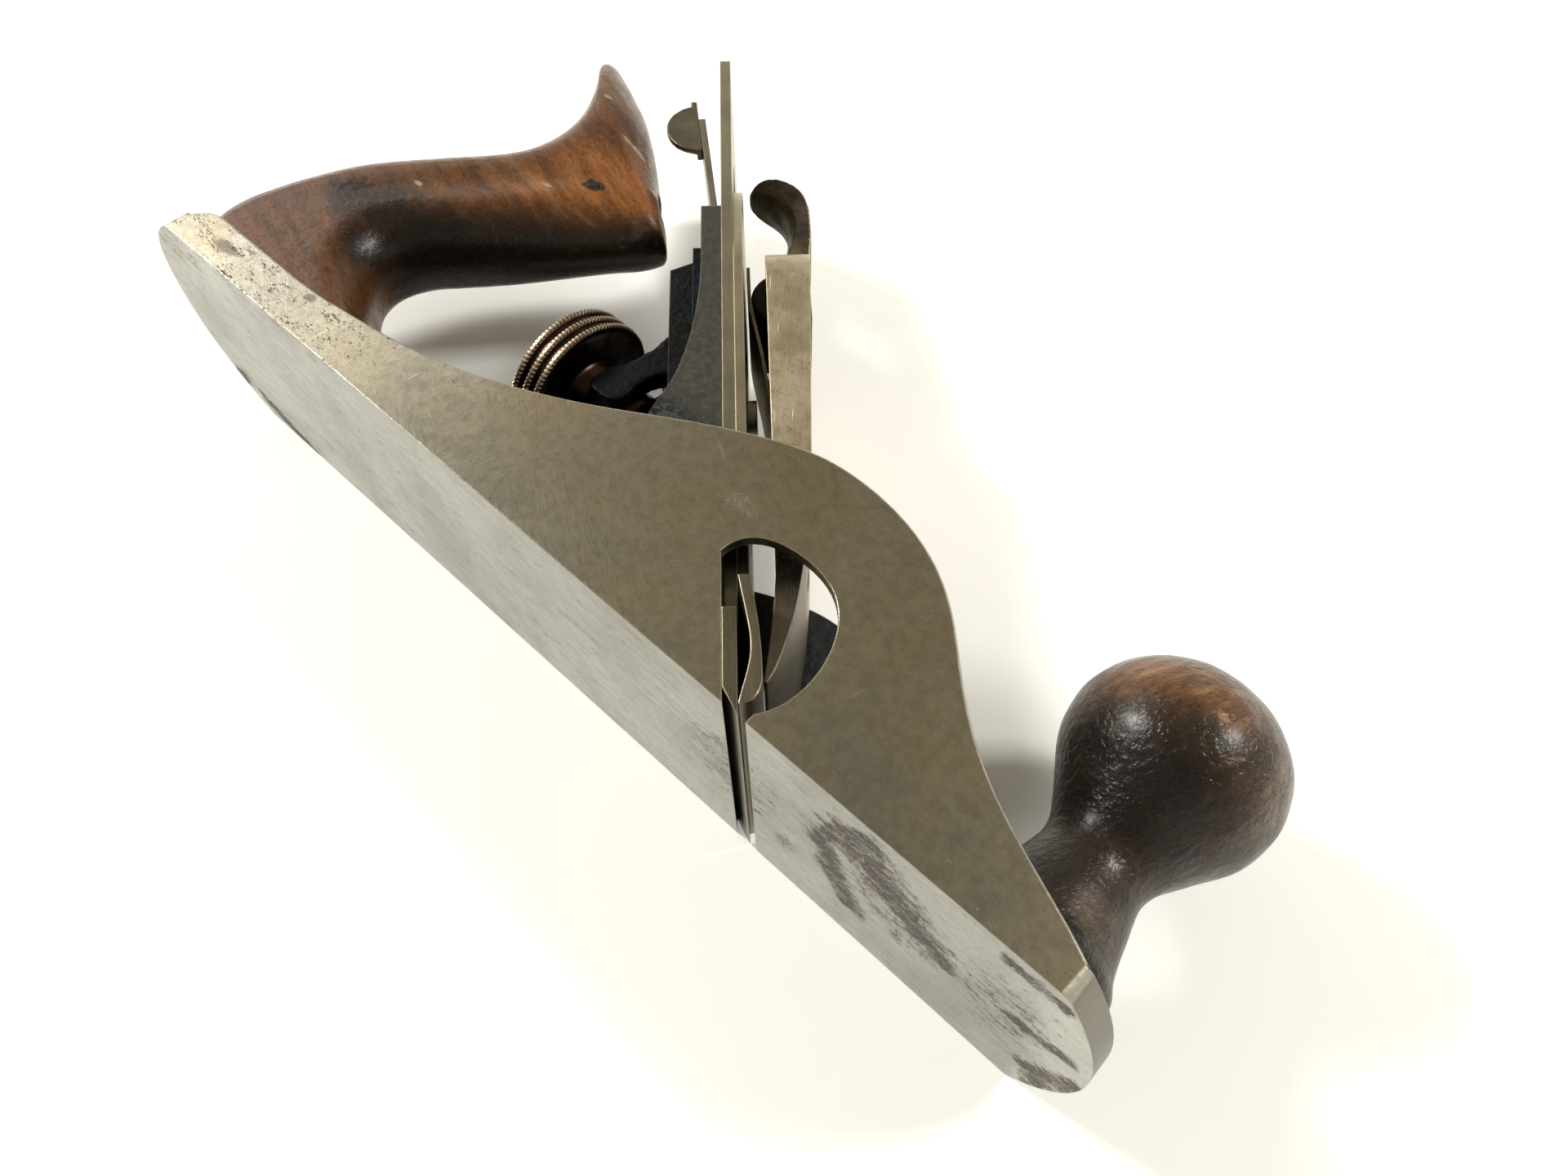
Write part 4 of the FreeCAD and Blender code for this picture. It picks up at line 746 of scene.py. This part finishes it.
nodeFinish = {
    "body": "casting", "frog": "frog", "y_lever": "yoke", "iron": "blade", "cap_iron": "cap",
    "lever_cap": "lever", "cam_lever": "cam", "lateral_lever": "lateral", "thumb_tab": "dark",
    "lever_cap_spring": "dark", "frog_clip": "dark", "adjusting_wheel": "wheel", "tote": "tote",
    "knob": "knob", "tote_nut": "nut", "knob_nut": "nut", "y_lever_pin": "yoke", "cam_pin": "pin",
    "spring_rivet": "pin", "lateral_rivet": "pin",
}
for name, solid in nodes.items():
    for slot in solid.material_slots:
        slot.material = materials[nodeFinish.get(name, "screw")]


def meshOf(name, shape):
    mesh = bpy.data.meshes.new(name)
    shape.to_mesh(mesh)
    shape.free()
    return mesh


def smooth(shape):
    for face in shape.faces:
        face.smooth = True
    return shape


def placePiece(name, shape, finish, node):
    # the mesh becomes a piece that stands for a solid and moves with its body
    mesh = meshOf(name, shape)
    mesh.materials.append(materials[finish])
    piece = addObject(name, mesh)
    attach(piece, bodyOfNode[node])
    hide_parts(node)
    return piece


weld = {
    "near": 0.002,    # points nearer than this become one
    "flat": 0.6,    # degrees under which neighbouring faces become one
}


def weldedCopy(node):
    # a solid's surface with its seams closed and its flat faces made whole
    shape = bmesh.new()
    shape.from_mesh(nodes[node].data)
    bmesh.ops.remove_doubles(shape, verts=shape.verts, dist=weld["near"] * mm)
    bmesh.ops.dissolve_limit(shape, angle_limit=math.radians(weld["flat"]), verts=shape.verts, edges=shape.edges)
    return shape


brokenEdges = {
    # width of the worn edge, and the least angle that counts as one
    "body": (0.42, 30.0), "iron": (0.08, 30.0), "cap_iron": (0.1, 30.0), "lever_cap": (0.35, 32.0),
    "frog": (0.35, 30.0), "lateral_lever": (0.18, 35.0),
}

toeCorner = {
    "round": 1.5,    # radius where a cheek turns into the toe
    "behind": 12.0,    # how far behind the toe's tip such corners lie at most
    "upright": 0.8,    # least share of an edge's length that is height
    "shortest": 2.0,
}


def bevel(shape, edges, width, segments, limited):
    bmesh.ops.bevel(shape, geom=edges, offset=width * mm, offset_type="OFFSET", segments=segments, profile=0.5,
                    affect="EDGES", clamp_overlap=limited)


def roundToe(shape):
    # the two upright corners between cheeks and toe are rubbed rounder than the other edges
    low, high = boxOf("body")
    corners = []
    for edge in shape.edges:
        a, b = (v.co / mm for v in edge.verts)
        far = (a - b).length
        upright = abs(a.y - b.y) > toeCorner["upright"] * far and far > toeCorner["shortest"]
        if upright and all(min(p.z - low.z, high.z - p.z) < 0.1 and p.x > high.x - toeCorner["behind"]
                           for p in (a, b)):
            corners.append(edge)
    print("toe corners rounded:", len(corners))
    bevel(shape, corners, toeCorner["round"], segments=4, limited=False)


def softenEdges(node):
    width, angle = brokenEdges[node]
    shape = weldedCopy(node)
    if node == "body":
        roundToe(shape)
    sharp = [e for e in shape.edges if len(e.link_faces) == 2 and e.calc_face_angle(0.0) > math.radians(angle)]
    bevel(shape, sharp, width, segments=2, limited=True)
    piece = placePiece(node + "Worn", smooth(shape), nodeFinish[node], node)
    piece.modifiers.new("evenNormals", "WEIGHTED_NORMAL").keep_sharp = True


for name in brokenEdges:
    softenEdges(name)
print("edges softened:", len(brokenEdges))


def closeOver(shape, rings):
    # faces between neighbouring rings of points, and one over each end
    for a, b in zip(rings, rings[1:]):
        for n in range(len(a)):
            m = (n + 1) % len(a)
            shape.faces.new((a[n], a[m], b[m], b[n]))
    shape.faces.new(rings[0][::-1])
    shape.faces.new(rings[-1])
    bmesh.ops.recalc_face_normals(shape, faces=shape.faces)
    return shape


def lathe(profile, axisPoint, axis, across, steps, ripple=None):
    # turns (radius, distance along the axis) pairs about an axis; ripple changes a radius by angle
    shape = bmesh.new()
    side = axis.cross(across)
    rings = []
    for k, (radius, along) in enumerate(profile):
        ring = []
        for n in range(steps):
            a = 2 * math.pi * n / steps
            r = radius if ripple is None else ripple(k, n, radius)
            out = (across * math.cos(a) + side * math.sin(a)) * r
            ring.append(shape.verts.new((axisPoint + axis * along + out) * mm))
        rings.append(ring)
    return closeOver(shape, rings)


adjustingWheel = {
    "teeth": 104,
    "toothDepth": 0.42,
    "rims": 3,
    "rimWidth": 1.4,
    "chamfer": (0.45, 0.28),    # of the rims: off the radius, and along the axis
    "gap": 1.4,
    "gapDepth": 1.0,
    "collar": 6.6,
    "groove": 4.3,
    "collarRear": 4.2,
    "collarFront": 3.6,
    "collarEdge": 0.4,
    "grooveWidth": 7.4,
    "bore": 3.05,
    "frontFace": ((2.6, 0.0), (1.6, 0.15)),    # pairs: in from the rims, and along the axis
    "rearFace": ((1.6, 0.0), (2.4, -0.25)),
    "gapCorner": ((0.1, 0.12), (0.0, 0.4)),    # up from the gap's floor, and along the axis
    "collarFoot": ((1.6, -0.25), (0.3, 0.0)),    # out from the collar, and along the axis
    "toothFace": 0.3,    # square millimetres up to which a face stays flat
}


def makeWheel():
    w = adjustingWheel
    low, high = boxOf("adjusting_wheel")
    outer = 0.5 * (high.y - low.y)
    inward, along = w["chamfer"]
    x, knurled = 0.0, set()
    profile = [(w["bore"], 0.0)] + [(outer - r, a) for r, a in w["frontFace"]]
    for n in range(w["rims"]):
        knurled |= {len(profile) + 1, len(profile) + 2}
        profile += [(outer - inward, x), (outer, x + along), (outer, x + (w["rimWidth"] - along)),
                    (outer - inward, x + w["rimWidth"])]
        x += w["rimWidth"]
        if n < w["rims"] - 1:
            floor = outer - w["gapDepth"]
            profile += [(floor + r, x + a) for r, a in w["gapCorner"]]
            profile += [(floor + r, x + w["gap"] - a) for r, a in w["gapCorner"][::-1]]
            x += w["gap"]
    c, g, e = w["collar"], w["groove"], w["collarEdge"]
    rear = x + w["collarRear"]
    front = x + (w["collarRear"] + w["grooveWidth"])
    end = front + w["collarFront"]
    profile += [(outer - r, x + a) for r, a in w["rearFace"]] + [(c + r, x + a) for r, a in w["collarFoot"]]
    profile += [(c, x + e), (c, rear - e), (c - e, rear), (g, rear), (g, rear + w["grooveWidth"]),
                (c - e, front), (c, front + e), (c, end - e), (c - e, end), (w["bore"], end)]
    scale = (high.x - low.x) / end
    middle = middleOf("adjusting_wheel")

    def ripple(k, n, radius):
        return radius - (w["toothDepth"] if k in knurled and n % 2 else 0.0)

    shape = lathe([(r, a * scale) for r, a in profile], Vector((low.x, middle.y, middle.z)), Vector((1, 0, 0)),
                  Vector((0, 1, 0)), 2 * w["teeth"], ripple)
    for face in shape.faces:
        face.smooth = len(face.verts) > 4 or face.calc_area() > w["toothFace"] * mm * mm
    placePiece("knurledWheel", shape, "wheel", "adjusting_wheel")


makeWheel()
print("wheel made")

knobShape = {
    # radius and height over the knob's foot
    "profile": [(13.55, 0.05), (13.6, 1.4), (13.3, 2.3), (14.3, 3.0), (14.55, 4.2), (14.1, 5.6), (13.1, 7.4),
                (12.1, 10.4), (11.05, 14.2), (10.1, 17.6), (9.65, 20.6), (10.4, 24.0), (12.2, 27.4),
                (14.4, 30.9), (16.6, 34.3), (18.1, 37.2), (19.05, 40.4), (19.5, 44.5), (19.1, 47.8),
                (17.9, 51.2), (15.6, 54.7), (12.9, 57.3), (10.3, 58.9), (8.3, 59.9), (7.6, 60.1),
                (7.15, 59.7), (7.1, 57.9)],
    "height": 60.3,
    "steps": 128,
    "rough": 0.3,    # depth of the unevenness, and its size
    "roughSize": 5.0,
    "dents": [((33, 57, 38), 3.5, 0.6), ((60, 58, 44), 3.0, 0.5), ((62, 40, 45), 2.5, 0.5),
              ((43, 47, 46), 3.0, 0.5), ((44, 10, 36), 2.2, 0.9), ((50, 9.5, 40), 1.8, 0.9),
              ((41, 11, 31), 1.8, 0.8), ((57, 9, 40), 2.0, 0.7)],
}


def wearIn(shape, centre, dents, rough, size):
    # knocks and unevenness, always pressed into the wood
    for v in shape.verts:
        p = v.co / mm
        depth = rough * (0.5 + 0.5 * noise.noise(p / size))
        for place, reach, deep in dents:
            far = (p - Vector(place)).length / reach
            if far < 1.0:
                depth += deep * (1.0 - far * far) ** 2
        inward = centre(p) - p
        if inward.length > 1e-6:
            v.co += inward.normalized() * depth * mm


def within(value, low=0.0, high=1.0):
    return min(max(value, low), high)


def refined(profile, pieces=3):
    # more points along a profile, on a smooth curve through the given ones
    points = []
    for n in range(len(profile) - 1):
        p = [Vector((*profile[within(n + k, 0, len(profile) - 1)], 0.0)) for k in (-1, 0, 1, 2)]
        for k in range(pieces):
            t = k / pieces
            q = 0.5 * (2 * p[1] + (p[2] - p[0]) * t + (2 * p[0] - 5 * p[1] + 4 * p[2] - p[3]) * t * t
                       + (3 * p[1] - p[0] - 3 * p[2] + p[3]) * t ** 3)
            points.append((q.x, q.y))
    return points + [profile[-1]]


def makeKnob():
    k = knobShape
    low, high = boxOf("knob")
    middle = middleOf("knob")
    foot = Vector((middle.x, low.y, middle.z))
    grow = (high.y - low.y) / k["height"]
    profile = [(r, min(y * grow, high.y - low.y)) for r, y in refined(k["profile"])]
    shape = lathe(profile, foot, Vector((0, 1, 0)), Vector((0, 0, 1)), k["steps"])
    wearIn(shape, lambda p: Vector((middle.x, p.y, middle.z)), k["dents"], k["rough"], k["roughSize"])
    placePiece("turnedKnob", smooth(shape), "knob", "knob")


makeKnob()
print("knob made")

toteShape = {
    # x from the front end of the handle, y over its foot; the last value says how the point
    # moves towards the sides: a share of the roundness, or "horn" or "corner" to close on that point
    "back": [(-58.0, 0.0, 1.0), (-65.4, 4.8, 1.0), (-68.2, 11.8, 1.0), (-68.2, 18.1, 1.0), (-66.8, 23.9, 1.0),
             (-64.8, 30.2, 1.0), (-59.4, 42.2, 1.0), (-50.5, 54.0, 1.0), (-40.4, 65.6, 1.0), (-37.0, 71.6, 1.0),
             (-36.3, 78.2, 1.0), (-36.9, 85.4, "horn"), (-40.8, 93.0, "horn"), (-46.2, 100.6, "horn"),
             (-51.6, 106.6, "horn"), (-50.6, 108.6, "horn"), (-47.6, 108.3, "horn"), (-43.0, 106.5, "horn"),
             (-36.2, 103.4, "horn"), (-29.0, 99.8, "horn"), (-22.0, 95.2, "horn"), (-16.3, 91.0, 0.85),
             (-8.8, 85.0, 0.65), (-2.6, 80.4, "corner")],
    "front": [(5.4, 73.4, "corner"), (1.7, 67.6, "corner"), (-2.9, 61.9, 0.9), (-12.9, 50.4, 1.0),
              (-23.6, 38.9, 1.0), (-28.6, 33.0, 1.0), (-30.3, 28.3, 1.0), (-29.1, 23.4, 0.9), (-25.2, 18.8, 0.7),
              (-18.0, 14.0, 0.5), (-9.0, 10.6, 0.35), (0.0, 8.0, 0.25)],
    "horn": ((-26.0, 84.0), 0.85),
    "corner": ((-9.0, 76.0), 0.6),
    "beak": (-26.0, 5.0, 0.32),    # where the handle narrows towards its front, and by what share
    "beakAbove": 40.0,    # height over the foot
    "frontEnd": -102.0,
    "frontPull": -0.3,    # how the foot's front end moves towards the sides
    "foot": 5.0,
    "thick": 24.0,
    "layers": 15,
    "sideAngle": 80.0,
    "nutWell": (4.6, 4.0, 30.0),    # radius, depth under the nut's middle, and length
    "rodRadius": 2.8,
    "grid": 0.55,
    "easing": 3,
    "crown": 60,    # passes that round the flat sides
    "rough": 0.12,
    "roughSize": 9.0,
    "core": 3.0,    # half-width that is left unworn
    "dents": [((-150, 88, 38), 4.0, 0.25), ((-120, 92, 38), 3.0, 0.3), ((-138, 70, 39), 3.0, 0.25)],
}


def toteLayer(z, share):
    # the handle's outline at one height over the bench; share is 0 at mid-plane and 1 at the very side
    t = toteShape
    loop = t["back"] + t["front"] + [(0.0, 0.0, 0.0)]
    radius, moved = t["thick"] / 2, []
    for n, (x, y, how) in enumerate(loop):
        before, after = loop[n - 1], loop[(n + 1) % len(loop)]
        along = Vector((after[0] - before[0], after[1] - before[1])).normalized()
        if how in ("horn", "corner"):
            target, pull = t[how]
            move = (Vector(target) - Vector((x, y))) * share * pull
        elif y == 0.0:
            move = Vector((t["frontPull"] * radius if x == 0.0 else radius, 0.0)) * share
        elif x == 0.0:
            move = Vector((t["frontPull"], -how)) * radius * share
        else:
            move = Vector((along.y, -along.x)) * radius * share * how
        moved.append((t["frontEnd"] + x + move.x, t["foot"] + y + move.y))
    rise = refined(moved[:len(t["back"])], 5)
    fall = refined(moved[len(t["back"]):-1], 5)
    around = rise + fall + [moved[-1]]
    start, end, less = t["beak"]
    layer = []
    for x, y in around:
        narrow = within((x - t["frontEnd"] - start) / (end - start))
        narrow = 1.0 - less * narrow * narrow * (3.0 - 2.0 * narrow) if y > t["foot"] + t["beakAbove"] else 1.0
        layer.append(Vector((x, y, planeMid + (z - planeMid) * narrow)) * mm)
    return layer


def remade(grid, passes):
    # modifiers that remake a surface in a fine grid and ease it
    return [("REMESH", {"mode": "VOXEL", "voxel_size": grid * mm}),
            ("SMOOTH", {"factor": 0.5, "iterations": passes})]


def evaluated(name, shape, modifiers):
    # the shape with modifiers worked out
    rough = addObject(name, meshOf(name, shape))
    for kind, settings in modifiers:
        step = rough.modifiers.new(kind.lower(), kind)
        for key, value in settings.items():
            setattr(step, key, value)
    shape = bmesh.new()
    shape.from_object(rough, bpy.context.evaluated_depsgraph_get())
    bpy.data.objects.remove(rough)
    return shape


def rodFoot():
    # where the axis of the handle's rod enters the casting
    rodLow = boxOf("tote_rod")[0]
    return Vector((rodLow.x + toteShape["rodRadius"], rodLow.y, planeMid))


def makeWell():
    # a round cutter over the rear nut, opening out of the handle
    middle = middleOf("tote_nut")
    axis = (middle - rodFoot()).normalized()
    radius, depth, length = toteShape["nutWell"]
    shape = lathe([(radius, 0.0), (radius, length)], middle - axis * depth, axis, Vector((0, 0, 1)), 40)
    return addObject("nutWell", meshOf("nutWell", shape))


def makeTote():
    t = toteShape
    shape = bmesh.new()
    widest = math.radians(t["sideAngle"])
    angles = [widest * (k / t["layers"]) for k in range(-t["layers"], t["layers"] + 1)]
    rings = []
    for a in angles:
        z = planeMid + 0.5 * t["thick"] * math.sin(a) / math.sin(widest)
        rings.append([shape.verts.new(p) for p in toteLayer(z, 1 - math.cos(a))])
    well = makeWell()
    shape = evaluated("toteRough", closeOver(shape, rings), [
        ("BOOLEAN", {"operation": "DIFFERENCE", "object": well}),
        *remade(t["grid"], t["easing"]),
        ("SMOOTH", {"factor": 0.5, "iterations": t["crown"], "use_x": False, "use_y": False})])
    bpy.data.objects.remove(well)

    def centre(p):
        return Vector((p.x, p.y, planeMid)) if abs(p.z - planeMid) > t["core"] else p

    wearIn(shape, centre, t["dents"], t["rough"], t["roughSize"])
    low = boxOf("tote")[0]
    for v in shape.verts:
        v.co.y = max(v.co.y, low.y * mm)
    placePiece("carvedTote", smooth(shape), "tote", "tote")


makeTote()
print("tote made")

yokeShape = {
    "grid": 0.45,
    "easing": 5,
    "swell": 1.25,
    "lump": 2.8,
    "depth": 0.9,
    "skin": 0.1,    # all over, against what the easing takes off
    "plainAbove": 57.0,    # height over the sole from which it is as thin as the solid
    "blend": 5.0,
}


def softened(node, grid, easing, cut=None):
    # a solid's surface remade in a fine grid and eased, so that its edges are round
    shape = weldedCopy(node)
    if cut is not None:
        geometry = shape.verts[:] + shape.edges[:] + shape.faces[:]
        kept = bmesh.ops.bisect_plane(shape, geom=geometry, plane_co=(0, 0, cut * mm), plane_no=(0, 0, 1),
                                      clear_inner=True)
        bmesh.ops.edgenet_fill(shape, edges=[e for e in kept["geom_cut"] if isinstance(e, bmesh.types.BMEdge)])
    return smooth(evaluated(node + "Rough", shape, remade(grid, easing)))


def makeYoke():
    # the cast fork: softened, and as uneven as it came out of the sand
    k = yokeShape
    shape = softened("y_lever", k["grid"], k["easing"])
    low, high = boxOf("y_lever")
    for v in shape.verts:
        p = v.co / mm
        fat = within((k["plainAbove"] - p.y) / k["blend"])
        p += v.normal * (k["skin"] + fat * (k["swell"] - k["depth"] * (0.5 + 0.5 * noise.noise(p / k["lump"]))))
        for axis in range(3):
            p[axis] = within(p[axis], low[axis], high[axis])
        v.co = p * mm
    placePiece("castYoke", shape, "yoke", "y_lever")


makeYoke()
print("yoke made")

handSteel = {
    "camGrid": 0.35,
    "camEasing": 9,
    "camReach": 0.045,    # how much longer the curl is than the plain solid
    "camHub": (10.0, 14.0),    # radius left as it is, and over how far the stretch grows
    "tabGrid": 0.22,
    "tabEasing": 3,
    "tabEdge": 28.6,    # height over the bench at which the ear's foot ends
    "nutSize": 0.62,
    "nutSunk": 0.5,
}


def makeHandSteel():
    # the parts that fingers rub: cam lever, thumb ear and the handle's nut
    h = handSteel
    shape = softened("cam_lever", h["camGrid"], h["camEasing"])
    hub = middleOf("cam_pin")
    still, blend = h["camHub"]
    for v in shape.verts:
        away = Vector((v.co.x / mm - hub.x, v.co.y / mm - hub.y, 0.0))
        v.co += away * h["camReach"] * within((away.length - still) / blend) * mm
    placePiece("camLeverWorn", shape, "cam", "cam_lever")
    shape = softened("thumb_tab", h["tabGrid"], h["tabEasing"], h["tabEdge"])
    ear = placePiece("thumbEar", shape, "dark", "thumb_tab")
    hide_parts("thumb_tab", "thumb_tab_rivets")
    shape = weldedCopy("tote_nut")
    middle = middleOf("tote_nut")
    down = (rodFoot() - middle).normalized() * h["nutSunk"]
    for v in shape.verts:
        v.co = (middle + down + (v.co / mm - middle) * h["nutSize"]) * mm
    placePiece("handleNut", shape, "nut", "tote_nut")


makeHandSteel()
print("cam lever, thumb ear and nut made")


room = {
    "floor": (0.925, 0.928, 0.895),
    "floorGlow": 0.3,    # seen by the camera and in the metal only
    "shadowPoolGlow": 0.02,    # painted shade: a weaker glow close to the plane, which darkens the floor where its shadows lie
    "glowTint": (1.0, 0.985, 0.95),
    # where the painted shade around the plane lies on the floor
    "near": [((-118, 44, 0), (72, 42, 60)), ((24, 42, 0), (30, 26, 60))],
    "radius": 2.6,    # of the bench top, in metres like the next two
    "wall": 1.9,
    "bend": 0.5,
    "steps": 96,
    "under": 0.05,    # gap below the plane, so that no two faces coincide
    "sky": (0.262, 0.232, 0.168),
    "skyStrength": 1.0,
}

lamps = {
    # name: place and size in metres, power in watts
    "leftWindow": ((-1.19, -0.18, 0.974), 0.3, 17.5),
    "rightWindow": ((0.65, 0.821, 1.113), 0.3, 12.5),
    "wallGlow": ((-1.31, 0.38, 0.845), 0.47, 1.6),
}
lampAim = (-0.045, 0.05, 0.03)    # in metres
lampTint = (1.0, 0.98, 0.94)


def paleMaterial():
    made, shader, where, normal = startMaterial("paleBench")
    cloud = fade(noiseField(where, 0.02, 4.0, 0.5), 0.3, 0.7, 0.0, 0.35)
    # painted shade: the floor glows less close to the plane
    glow = mixValue(spots(where, room["near"], 0.0, 0.8), room["floorGlow"], room["shadowPoolGlow"])
    rays = addNode(where.tree, "ShaderNodeLightPath").outputs
    seen = biggest(field(rays["Is Camera Ray"]), field(rays["Is Glossy Ray"]))
    finishMaterial(shader, {
        "Base Color": mixColour(cloud, room["floor"], [0.98 * c for c in room["floor"]]),
        "Roughness": 0.65,
        "Specular IOR Level": 0.2,
        "Emission Color": room["glowTint"],
        "Emission Strength": seen * glow,
    })
    return made


def makeRoom():
    # a round bench top that curves up into a wall
    shape = bmesh.new()
    steps, bend = room["steps"], room["bend"]
    profile = [(room["radius"] - bend, 0.0)]
    profile += [(room["radius"] - bend + bend * math.sin(a), bend - bend * math.cos(a))
                for a in [math.pi / 2 * k / 10 for k in range(1, 11)]]
    profile += [(room["radius"], room["wall"])]
    centre = shape.verts.new((0, 0, 0))
    rings = [[shape.verts.new((r * math.cos(2 * math.pi * n / steps), r * math.sin(2 * math.pi * n / steps), z))
              for n in range(steps)] for r, z in profile]
    for n in range(steps):
        m = (n + 1) % steps
        shape.faces.new((centre, rings[0][n], rings[0][m]))
        for a, b in zip(rings, rings[1:]):
            shape.faces.new((a[n], b[n], b[m], a[m]))
    mesh = meshOf("benchTop", smooth(shape))
    mesh.materials.append(paleMaterial())
    bench = addObject("benchTop", mesh)
    bench.location.z = -room["under"] * mm


def addLamp(name, place, size, power):
    data = bpy.data.lights.new(name, "AREA")
    data.shape = "SQUARE"
    data.size = size
    data.energy = power
    data.color = lampTint
    lamp = addObject(name, data)
    lamp.location = place
    lamp.rotation_euler = (Vector(lampAim) - Vector(place)).to_track_quat("-Z", "Y").to_euler()


def makeSky():
    scene.world = bpy.data.worlds.new("room")
    scene.world.use_nodes = True
    sky = scene.world.node_tree.nodes["Background"]
    plug(sky.inputs["Color"], room["sky"])
    sky.inputs["Strength"].default_value = room["skyStrength"]


makeRoom()
for name, values in lamps.items():
    addLamp(name, *values)
makeSky()
scene.view_settings.view_transform = "Standard"
print("room lit")
